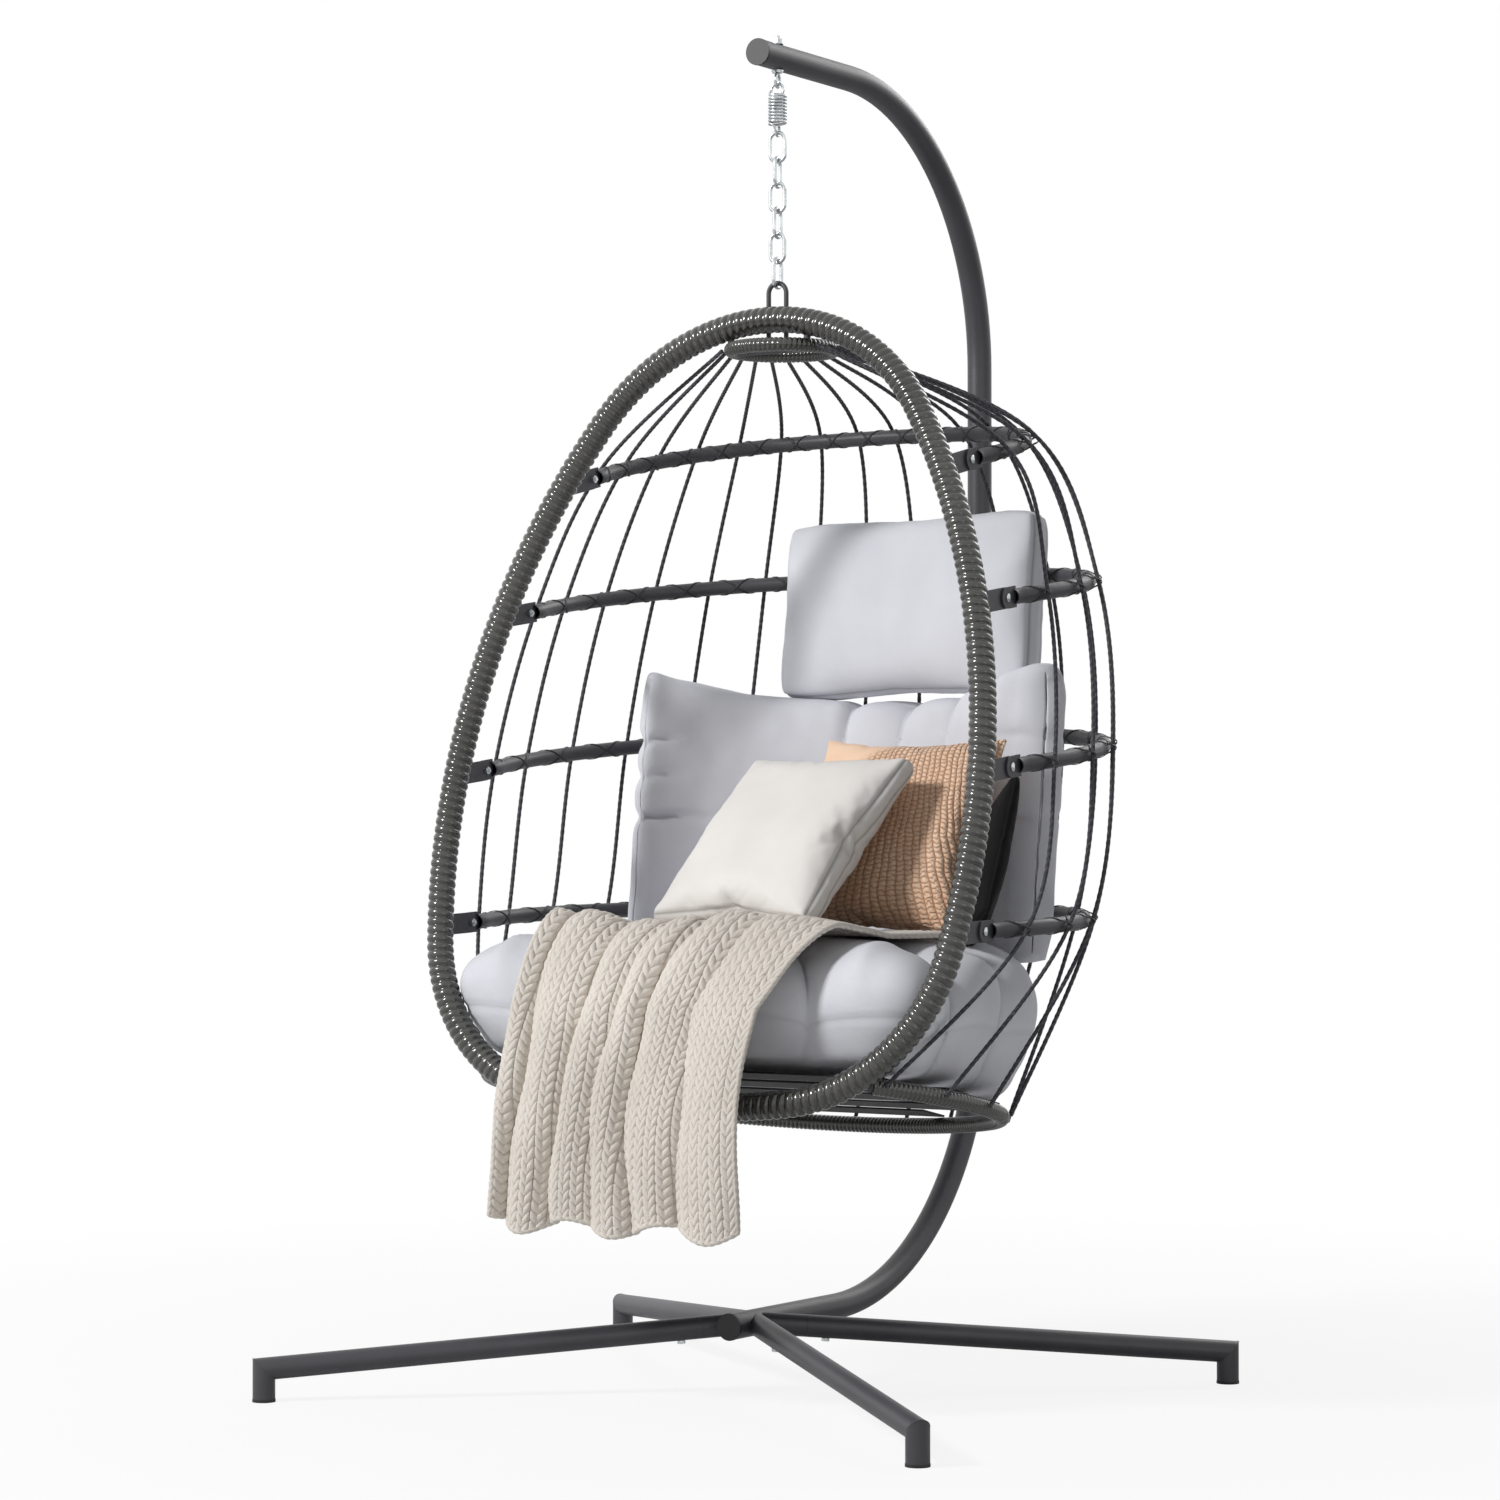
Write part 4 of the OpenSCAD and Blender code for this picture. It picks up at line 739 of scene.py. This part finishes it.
def lace_line(i, hand):
    """The strip's middle line round bar i: once round between ropes, and out over each rope."""
    bar, margin = BARS[i], bar_margin(i)
    gap_len = crossing(bar, margin, 1) - crossing(bar, margin, 0)
    points, outs = [], []
    for s in np.arange(LACE_END, bar.length - LACE_END, LACE_STEP):
        phase = (s - margin) / gap_len
        a = hand * 2 * math.pi * phase
        wrapped = (a + math.pi) % (2 * math.pi) - math.pi
        near = (phase + 0.5) % 1.0 - 0.5
        over = bell(wrapped, LACE_BOW_TURN) * bell(near, LACE_BOW_ALONG) * (0 <= round(phase) < ROPE_COUNT)
        r = BAR_R + GAP + LACE_T / 2 + over * (2 * ROPE_R + 2 * GAP + LACE_CLEAR)
        p, out = bar.at(s)
        radial = math.cos(a) * out + math.sin(a) * bar.up
        points.append(p + r * radial)
        outs.append(radial)
    return np.array(points), np.array(outs)


def make_lacing():
    for i in range(4):
        strips = [lace_mesh(f"lace_{i}_{hand}", *lace_line(i, hand)) for hand in (1, -1)]
        hand_in(join(strips, f"lacing_strip_{i + 1}"), f"bar_lacing_{i + 1}")


def strap_half(y):
    """Half width of the bottom ring at a distance behind the hoop, in the ring's plane, and the ring's depth."""
    line = np.array([LOW_RING.at(s)[0] - HANG for s in np.linspace(LOW_RING.length / 2, LOW_RING.length, 300)])
    back = (line[:, 1] - LOW_RING.base[0]) / math.cos(LOW_RING.tilt)
    return float(np.interp(y, back[::-1], line[::-1, 0])), float(back[0])


def make_straps():
    """Ribbed webbing bands across the bottom ring, under the seat pad."""
    bands = []
    lift = LOW_WRAP_R + GAP
    last = strap_half(0)[1] - STRAP_END
    for k in range(STRAP_COUNT):
        y = STRAP_FIRST + (last - STRAP_FIRST) * k / (STRAP_COUNT - 1)
        half = min(strap_half(y - STRAP_W / 2)[0], strap_half(y + STRAP_W / 2)[0])
        x = np.linspace(-half, half, 90)
        across = np.linspace(-STRAP_W / 2, STRAP_W / 2, 25)
        face = lift + STRAP_T + STRAP_RIB_H * (np.abs(np.sin(np.pi * across / STRAP_RIB)) - 1)
        top = np.stack(np.broadcast_arrays(x[:, None], y + across[None, :], face[None, :]), axis=-1)
        low = top[:, ::-1] * (1, 1, 0) + (0, 0, lift)
        ring = np.concatenate([top, low], axis=1)
        flat = ring.reshape(-1, 3)
        verts = np.array([LOW_RING.lift(p) + p[2] * LOW_RING.up for p in flat])
        band = new_mesh(f"strap_{k}", verts, tube_faces(*ring.shape[:2]), WEBBING, "basket", smooth=False)
        put_attribute(band, "cloth_place", flat)
        bands.append(band)
    hand_in(join(bands, "seat_webbing"), "seat_straps")


# ---------- spring ----------

def make_spring():
    """The hook at the top, the coil, and the same hook turned over at the bottom, a quarter turn round."""
    drop = COIL_PITCH * COIL_SPAN / 360
    hook = [(HOOK_R * math.cos(a), 0, HOOK_R * math.sin(a) + HOOK_RISE) for a in np.radians(np.arange(-40, 181, 11))]
    hook += HOOK_BEND
    turns = np.radians(COIL_START + np.linspace(0, COIL_SPAN, COIL_POINTS))
    coil = [(COIL_R * math.cos(a), COIL_R * math.sin(a), -drop * k / (COIL_POINTS - 1)) for k, a in enumerate(turns)]
    low = [(p[1], p[0], -p[2] - drop) for p in hook[::-1]]
    line = np.array(hook + coil + low) @ turn_z(CHAIN_TURN).T + (0, HANG[1], SPRING_TOP)
    wire = tube_mesh("spring_wire", (line, np.zeros(len(line))), SPRING_WIRE_R, 10, (0, 1, 0.1), ZINC, None)
    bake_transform(wire)
    hand_in(wire, "spring")


# ---------- soft goods ----------

SEAT_W, SEAT_DEPTH, SEAT_MID_Y, SEAT_RISE, SEAT_PETALS = 0.806, 0.490, -0.036, 0.190, 12
LOW_BASE = LOW_RING.base
SEAT_TOP = LOW_BASE[1] + SEAT_RISE
BACK_T, BACK_H, WING_RISE, BACK_SPAN = 0.105, 0.382, 0.050, 58.0
BACK_LOW = SEAT_TOP - 0.0392
BACK_RX, BACK_RY, BACK_GROW_X, BACK_GROW_Y = 0.4212, 0.3102, 0.018, 0.046
PILLOW_W, PILLOW_T = 0.328, 0.100
AIR_PRESSURE, CLOTH_STIFFNESS, CLOTH_BENDING = 4.0, 15.0, 0.1
COVER_STEP, CORNER_SHARPNESS = 0.0062, 7


def superround(a, n):
    """Reach at angle a of a round that is squarer the larger n is."""
    return 1 / (np.abs(np.cos(a)) ** n + np.abs(np.sin(a)) ** n) ** (1 / n)


def soft_noise(points, scale, seed):
    """A smooth random height at each point."""
    shift = Vector((seed * 7.1, seed * 3.7, seed * 1.3))
    return np.array([noise.noise(Vector(p) * scale + shift) for p in points])


def strap_z(y):
    """Height of the seat webbing's top face at a distance behind the hanger."""
    floor = (LOW_WRAP_R + GAP + STRAP_T + GAP) / math.cos(math.radians(LOW_RING_TILT))
    return LOW_BASE[1] + (y - LOW_BASE[0]) * math.tan(math.radians(LOW_RING_TILT)) + floor


def read_points(mesh, kind="co"):
    out = np.empty(len(mesh.vertices) * 3, np.float32)
    mesh.vertices.foreach_get(kind, out)
    return out.reshape(-1, 3).astype(float)


def read_normals(mesh):
    return read_points(mesh, "normal")


def write_points(mesh, points):
    mesh.vertices.foreach_set("co", np.asarray(points, np.float32).ravel())
    mesh.update()


def evaluated_mesh(obj):
    """The mesh that the object's modifiers give, made its own."""
    mesh = bpy.data.meshes.new_from_object(obj.evaluated_get(bpy.context.evaluated_depsgraph_get()))
    obj.modifiers.clear()
    obj.data = mesh
    mesh.polygons.foreach_set("use_smooth", [True] * len(mesh.polygons))


def stuff_with_air(obj, frames):
    """Blow a closed cloth shape up like a filled cover, and keep the result."""
    s = obj.modifiers.new("stuffing", "CLOTH").settings
    s.use_pressure, s.uniform_pressure_force = True, AIR_PRESSURE
    s.effector_weights.gravity = 0
    s.quality = 5
    s.tension_stiffness = s.compression_stiffness = CLOTH_STIFFNESS
    s.bending_stiffness = CLOTH_BENDING
    for k in range(1, frames + 1):
        bpy.context.scene.frame_set(k)
    evaluated_mesh(obj)
    bpy.context.scene.frame_set(1)


def subdivide(obj):
    obj.modifiers.new("smooth", "SUBSURF").levels = 1
    evaluated_mesh(obj)


def hand_in_cushion(obj, node_name):
    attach(obj, "basket")
    hand_in(obj, node_name)


def cover_mesh(name, w, h, boxing, material, corner):
    """Two panels and the boxing strip between them, lying flat, with marked seams and corners drawn in."""
    n, m, k = round(w / COVER_STEP) + 1, round(h / COVER_STEP) + 1, 3
    x, y = np.meshgrid(np.linspace(-w / 2, w / 2, n), np.linspace(-h / 2, h / 2, m), indexing="ij")
    near = (np.abs(x) / (w / 2) * np.abs(y) / (h / 2)) ** CORNER_SHARPNESS
    x, y = x - np.sign(x) * corner * near, y - np.sign(y) * corner * near
    top = np.stack([x, y, np.full_like(x, boxing / 2)], axis=-1).reshape(-1, 3)
    low = top * (1, 1, -1)
    rim = [(i, 0) for i in range(n)] + [(n - 1, j) for j in range(1, m)]
    rim += [(i, m - 1) for i in range(n - 2, -1, -1)] + [(0, j) for j in range(m - 2, 0, -1)]
    at = np.array([i * m + j for i, j in rim])
    rows = [top[at] * (1, 1, 1 - 2 * r / k) for r in range(1, k)]
    verts = np.vstack([top, low] + rows)
    loops = [at] + [2 * n * m + r * len(at) + np.arange(len(at)) for r in range(k - 1)] + [n * m + at]
    panel = grid_faces(n, m)[:, ::-1]
    strip = np.vstack([np.stack([loops[r], loops[r + 1], np.roll(loops[r + 1], -1), np.roll(loops[r], -1)], axis=1)
                       for r in range(k)])
    obj = new_mesh(name, verts, np.vstack([panel[:, ::-1], panel + n * m, strip]), material, None)
    # The seams' mark gets painted shade along them from the cloth.
    seam = np.zeros(len(verts))
    seam[loops[0]] = seam[loops[-1]] = 1
    put_attribute(obj, "mark", seam)
    put_attribute(obj, "cloth_place", verts * (1, 1, 2))
    return obj


def fit_box(points, size):
    """The points centred on 0 and scaled to a size."""
    low, high = points.min(axis=0), points.max(axis=0)
    return (points - (low + high) / 2) * np.array(size) / (high - low)


def make_pillow(name, node_name, material, size, boxing, frames, place, turns, corner=0.0, calm=0):
    """A blown-up cover at a place from the hanger, turned about Z, then X, then Z. A calm one is softened that many
    times and has weaker puckers."""
    obj = cover_mesh(name, size[0], size[1], boxing, material, corner)
    stuff_with_air(obj, frames)
    if calm:
        obj.modifiers.new("soften", "SMOOTH").iterations = calm
        evaluated_mesh(obj)
    write_points(obj.data, fit_box(read_points(obj.data), size))
    subdivide(obj)
    points, normals = read_points(obj.data), read_normals(obj.data)
    seam = np.empty(len(points), np.float32)
    obj.data.attributes["mark"].data.foreach_get("value", seam)
    rim = bell(1 - np.max(np.abs(points[:, :2]) / (np.array(size[:2]) / 2), axis=1), 0.22)
    pucker = soft_noise(points, 60, 1) * 0.0011 * rim + soft_noise(points, 14, 2) * 0.0022
    points += normals * (pucker * (0.4 if calm else 1) - 0.0024 * seam)[:, None]
    matrix = turn_z(turns[2]) @ turn_x(turns[1]) @ turn_z(turns[0])
    write_points(obj.data, points @ matrix.T + np.array(place) + HANG)
    hand_in_cushion(obj, node_name)


def make_pillows():
    make_pillow("head_pad", "head_cushion", GREY_CLOTH,
                size=(0.452, 0.274, 0.105), boxing=0.045, frames=12,
                place=(0.052, 0.300, -0.460), turns=(1.2, 82, -4), corner=0.010, calm=16)
    make_pillow("white_throw_pillow", "white_pillow", WHITE_CLOTH,
                size=(PILLOW_W * 0.94, PILLOW_W * 0.94, PILLOW_T), boxing=0.028, frames=15,
                place=(0.066, -0.090, SEAT_TOP + 0.1344), turns=(0, 47, -13))
    make_pillow("peach_throw_pillow", "peach_pillow", PEACH_CLOTH,
                size=(PILLOW_W * 0.95, PILLOW_W * 0.95, PILLOW_T * 0.9), boxing=0.006, frames=15,
                place=(0.168, 0.036, SEAT_TOP + 0.1418), turns=(0, 64, -4))
    make_pillow("black_throw_pillow", "black_pillow", BLACK_CLOTH,
                size=(PILLOW_W * 0.64, PILLOW_W * 0.68, PILLOW_T * 0.4), boxing=0.004, frames=9,
                place=(0.334, 0.020, SEAT_TOP + 0.0924), turns=(26, 74, -54))


def closed_loft(name, rings, material, centres=()):
    """A skin over rings. The ends are fans round two centres, or one face each where none are given."""
    rows, sides = len(rings), len(rings[0])
    verts = np.vstack(rings + [[c] for c in centres])
    faces = tube_faces(rows, sides)
    if centres:
        last = (rows - 1) * sides
        faces[-2:] = [(rows * sides, (k + 1) % sides, k) for k in range(sides)]
        faces += [(rows * sides + 1, last + k, last + (k + 1) % sides) for k in range(sides)]
    obj = new_mesh(name, verts + HANG, faces, material, None)
    put_attribute(obj, "cloth_place", verts)
    return obj


def flat_curve(stops, steps):
    """A smooth curve through stops in a plane, as rows of two."""
    return smooth_line([(*stop, 0) for stop in stops], steps)[:, :2]


# The seat's section from the middle of its top to the middle of its underside: shares of the reach and the height
SEAT_EDGE = [(0.08, 1.0), (0.3, 1), (0.55, 0.998), (0.78, 0.985), (0.93, 0.9), (0.99, 0.74), (0.985, 0.52),
             (0.93, 0.28), (0.84, 0.09), (0.55, 0), (0.08, 0.0)]
SEAM_LEVEL, SEAT_DOME, PETAL_DIP = 0.47, 0.012, 0.040
# Creases between the front petals: x and y from the hanger, width
SEAT_TUFTS = [(0.15, -0.235, 0.030), (0.30, -0.235, 0.034), (-0.30, -0.235, 0.034), (0.385, -0.06, 0.03),
              (-0.385, -0.06, 0.03)]


def make_seat():
    sides = 26 * SEAT_PETALS
    a = -2 * np.pi * np.arange(sides) / sides
    petal = np.abs(np.sin(a * SEAT_PETALS / 2)) ** 0.45
    corner = np.where(np.sin(a) < 0, superround(a, 8), superround(a, 3))
    rings, seams = [], []
    for t, level in flat_curve(SEAT_EDGE, 7):
        seam = bell(level - SEAM_LEVEL, 0.022) * (t > 0.9)
        reach = corner * (1 - 0.075 * (1 - petal) * t * t - 0.012 * seam) * t
        x, y = SEAT_W / 2 * reach * np.cos(a), SEAT_MID_Y + SEAT_DEPTH / 2 * reach * np.sin(a)
        low = strap_z(y)
        high = SEAT_TOP - SEAT_DOME * t ** 3 - PETAL_DIP * (1 - petal) * t ** 1.5
        rings.append(np.stack([x, y, low + (high - low) * level], axis=1))
        seams.append(np.full(sides, seam))
    centres = [(0, SEAT_MID_Y, SEAT_TOP), (0, SEAT_MID_Y, strap_z(SEAT_MID_Y))]
    obj = closed_loft("seat_pad", rings, GREY_CLOTH, centres)
    # The seam's mark gets painted shade from the cloth.
    put_attribute(obj, "mark", np.concatenate(seams + [[0, 0]]))
    points, normals = read_points(obj.data), read_normals(obj.data)
    x, y, z = (points - HANG).T
    slant = 0.12 * (SEAT_TOP - 0.05 - z)
    tuft = sum(bell(x - tx - slant, wide * 0.4) * bell(y - ty, 0.05) for tx, ty, wide in SEAT_TUFTS)
    tuft *= ease(z, SEAT_TOP - 0.12, SEAT_TOP - 0.03)
    free = ease(z - strap_z(y), 0.0, 0.03)  # the underside stays flat on the webbing
    lift = soft_noise(points, 9, 3) * 0.004 + soft_noise(points, 26, 4) * 0.0018 - 0.007 * tuft
    write_points(obj.data, points + normals * ((lift - 0.0045) * free)[:, None])
    hand_in_cushion(obj, "seat_cushion")


# The back cushion's section: share of the thickness from the outer face inwards, share of the height
BACK_EDGE = [(0, 0.1), (0, 0.3), (0, 0.5), (0, 0.7), (0, 0.9), (0.12, 0.985), (0.5, 1), (0.88, 0.98), (1, 0.88),
             (1.02, 0.7), (1.0, 0.5), (1.02, 0.32), (1, 0.14), (0.85, 0.02), (0.5, 0), (0.12, 0.01)]
BACK_RINGS = 250
WING_NOTCHES = [(-0.658, 0.8, 0.6), (-0.713, 0.7, 0.5), (-0.776, 0.8, 1.0)]  # height, pull at the edge, crease
NOTCH_W, CREASE_W, CREASE_DEPTH = 0.013, 0.0065, 0.018
PLEAT_START, PLEAT_PITCH = 0.10, 0.27


def make_back():
    """The cushion bends round the back. share runs from 1 at the left wing's end to -1 at the right one's."""
    outline = flat_curve(BACK_EDGE, 14)
    rings, seams = [], []
    for k in range(BACK_RINGS + 1):
        share = 1 - 2 * k / BACK_RINGS
        share *= 1.5 - 0.5 * share ** 2  # closer rings towards the wings' ends
        f = abs(share)
        tip = ease(f, 0.86, 1.0)
        pleat_side = ease(-share, -0.17, -0.08) * (1 - ease(f, 0.78, 0.93))
        close = math.sqrt(1 - 0.999 * np.clip((f - 0.955) / 0.045, 0, 1) ** 2)
        held, strength = (0.85, 1.0) if share > 0 else (0.5, 0.5)
        ring, seam = [], []
        for q, zz in outline:
            top = BACK_H + WING_RISE * f * f
            z = BACK_LOW + zz * top
            pull = sum(p * bell(z - zn, NOTCH_W) for zn, p, _ in WING_NOTCHES) * (1.0 if share > 0 else 0.4)
            pull += 0.9 * bell(zz - 1.04, 0.14)
            crease = sum(c * bell(z - zn, CREASE_W) * ease(f, 0.93 - 0.38 * c, 1.0) for zn, _, c in WING_NOTCHES)
            crease *= strength
            reach = 1 + 0.08 * (1 - zz) + (0.034 * (share > 0.8) - 0.026 * pull) * tip
            a = math.radians(90 + BACK_SPAN * share * reach)
            wave = 1 - abs(math.sin(math.pi * (share - PLEAT_START) / PLEAT_PITCH)) ** 0.5
            pleat = wave * pleat_side * (0.019 * math.exp(-(1 - zz) * top / 0.05) + 0.007 * (zz > 0.15))
            z -= pleat * (zz > 0.85) * 0.55
            g = min(1, (z - BACK_LOW) / BACK_H)
            ox, oy = BACK_RX + BACK_GROW_X * g, BACK_RY + BACK_GROW_Y * g
            n = unit(np.array([math.cos(a) * oy, math.sin(a) * ox]))
            thick = BACK_T * (1 - 0.15 * ease(f, 0.6, 1.0) - 0.30 * tip)
            d = q * thick - (pleat + CREASE_DEPTH * crease) * (q > 0.3) + CREASE_DEPTH / 3 * crease * (q < 0.3)
            d = held * thick + (d - held * thick) * close + 0.30 * BACK_T * tip * (share > 0)
            z += (BACK_LOW + top / 2 - z) * 0.07 * (1 - close)
            ring.append((ox * math.cos(a) - d * n[0], oy * math.sin(a) - d * n[1], z))
            seam.append(0.8 * bell(q - 0.06, 0.05) * (zz > 0.9))
        rings.append(np.array(ring))
        seams.append(seam)
    obj = closed_loft("back_pad", rings, GREY_CLOTH)
    # The seam's mark by the top front edge gets painted shade from the cloth.
    put_attribute(obj, "mark", seams)
    points, normals = read_points(obj.data), read_normals(obj.data)
    lift = soft_noise(points, 8, 5) * 0.004 + soft_noise(points, 24, 6) * 0.0016
    write_points(obj.data, points + normals * (lift - 0.002)[:, None])
    hand_in_cushion(obj, "back_cushion")


THROW_W, THROW_FLAT_W, THROW_T, THROW_LIFT = 0.400, 0.54, 0.004, 0.0016
THROW_ROWS, THROW_COLS = 500, 360
# Valleys at shares of the cloth's width, and the height of each one's floor
FOLDS = [(-0.06, 0.0), (0.05, 0.0), (0.25, 0.0), (0.41, 0.4), (0.54, 0.05), (0.74, 0.3), (1.10, 0.0)]
# The cloth's middle line from the seat over its edge and down: y from the hanger, z from the seat's top
THROW_LINE = [(-0.070, 0.003), (-0.115, 0.002), (-0.162, 0.001), (-0.210, 0.000), (-0.257, -0.010), (-0.295, -0.037),
              (-0.317, -0.080), (-0.332, -0.128), (-0.347, -0.176), (-0.358, -0.228), (-0.362, -0.284),
              (-0.360, -0.340), (-0.356, -0.396)]
# Heights of the folds at that line's stops, counted from 0
FOLD_SIZE = [(0, 0.003), (2, 0.005), (2.8, 0.016), (3.4, 0.029), (4.6, 0.028), (6, 0.034), (12, 0.042)]
PLAIT_COLUMNS, PLAIT_PITCH, PLAIT_HEIGHT = 23, 0.0140, 0.0040
HEM_R, HEM_PITCH = 0.0048, 0.0105


def plait_height(u, along):
    """Braided columns: each is two rows of slanting lobes that meet in a V."""
    column = u * PLAIT_COLUMNS
    across = np.mod(column, 1.0) * 2 - 1
    half = np.abs(across)
    lobe = np.abs(np.sin(math.pi * (along / PLAIT_PITCH + 0.95 * half))) ** 0.55
    round_off = np.sqrt(np.clip(1 - (2 * np.clip(half, 0.04, 0.98) - 1) ** 2, 0, 1)) ** 0.6
    return lobe * (0.45 + 0.55 * round_off) * (1 - bell(half - 1, 0.10))


def fold_height(u, i):
    """0 in the narrow valleys, 1 on the broad ridges between them; the valleys wander down the cloth."""
    v = u + (0.020 * np.sin(0.62 * i + 6.5 * u) + 0.008 * np.sin(1.5 * i - 11 * u)) * ease(i, 2.0, 6.0)
    stops, floors = (np.array(c) for c in zip(*FOLDS))
    k = np.clip(np.searchsorted(stops, v) - 1, 0, len(stops) - 2)
    t = np.clip((v - stops[k]) / (stops[k + 1] - stops[k]), 0, 1)
    base = floors[k] + (floors[k + 1] - floors[k]) * t
    return base + (1 - base) * np.sin(math.pi * t) ** 0.45


def throw_surface(rows, cols):
    """The folded cloth's points, each one's place across, 0 to 1, and along, and its length. i counts the stops."""
    line = smooth_line([(0, y, z) for y, z in THROW_LINE], 30)
    length = path_length(line)
    line, at = resample(line, length / (rows - 1))
    d = unit(np.gradient(line, axis=0))
    u = np.linspace(0, 1, cols)[None, :]
    i = np.linspace(0, 12, rows)[:, None]
    f = np.clip((i - 2) / 10, 0, 1)
    spread = np.clip(1 - i / 6, 0, 1)
    size = 1 + 0.14 * np.sin(9.3 * u + 1.0 + 0.5 * i)
    ridge = fold_height(u, i)
    wave = np.interp(i, *zip(*FOLD_SIZE)) * size * (ridge - 0.45 * ease(i, 3.2, 6.0))
    wave = wave + 0.016 * bell(i - 3.3, 1.0) * (bell(u - 0.08, 0.14) + bell(u - 0.76, 0.2))
    sway = 0.006 * np.sin(0.8 * i + 5 * u) * f
    n = np.stack([np.zeros(rows), d[:, 2], -d[:, 1]], axis=1)
    x = -0.012 + 0.075 * spread - 0.026 * f + (u - 0.5) * THROW_W * (1 + 0.36 * spread) + sway
    hem = 0.011 * np.sin(17 * u + 2.2) * ease(f, 0.55, 1.0)
    y, z = (line[:, k, None] + wave * n[:, k, None] for k in (1, 2))
    points = np.stack([x, y, z + SEAT_TOP + THROW_LIFT + hem], axis=-1)
    return points, np.broadcast_to(u, (rows, cols)).ravel(), np.repeat(at, cols), length


def hem_strands(along, angle):
    """1 on the strands wound round the hem and 0 between them."""
    return np.abs(np.sin(angle - math.pi * along / HEM_PITCH))


def make_throw():
    points, u, along, length = throw_surface(THROW_ROWS, THROW_COLS)
    verts = points.reshape(-1, 3) + HANG
    throw = new_mesh("knitted_throw", verts, grid_faces(THROW_ROWS, THROW_COLS)[:, ::-1], KNIT, None)
    normals = read_normals(throw.data)
    if normals[(THROW_ROWS + 1) * THROW_COLS // 2][1] > 0:  # they have to point forwards
        normals = -normals
    lobes = plait_height(u, along)
    write_points(throw.data, verts + normals * (PLAIT_HEIGHT * (lobes - 0.35))[:, None])
    # The mark is painted shade in the hollows between the braided lobes.
    put_attribute(throw, "mark", np.clip(1.0 - 1.6 * lobes, 0, 1))
    put_attribute(throw, "cloth_place", np.stack([u * THROW_FLAT_W, along, 0 * u], axis=1))
    thickness = throw.modifiers.new("thickness", "SOLIDIFY")
    thickness.thickness, thickness.offset = THROW_T, 0
    evaluated_mesh(throw)
    edge = resample(np.vstack([points[:, 0], points[-1], points[::-1, -1]]) + HANG, 0.0022)
    # The hem's mark is painted shade between the wound strands.
    hem = tube_mesh("throw_hem", edge, HEM_R, 10, (0, -1, 0.3), KNIT, None,
                    shape=lambda s, a: HEM_R * (0.78 + 0.22 * hem_strands(s, a)),
                    marks=lambda s, a: (1 - hem_strands(s, a)) ** 2)
    put_attribute(hem, "cloth_place", read_points(hem.data))
    for piece in (throw, hem):
        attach(piece, "basket")
    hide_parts("knit_throw")


make_camera()
make_light()
make_floor()
finish_nodes()
make_windings()
make_ropes()
make_lacing()
make_straps()
make_spring()
make_seat()
make_back()
make_pillows()
make_throw()
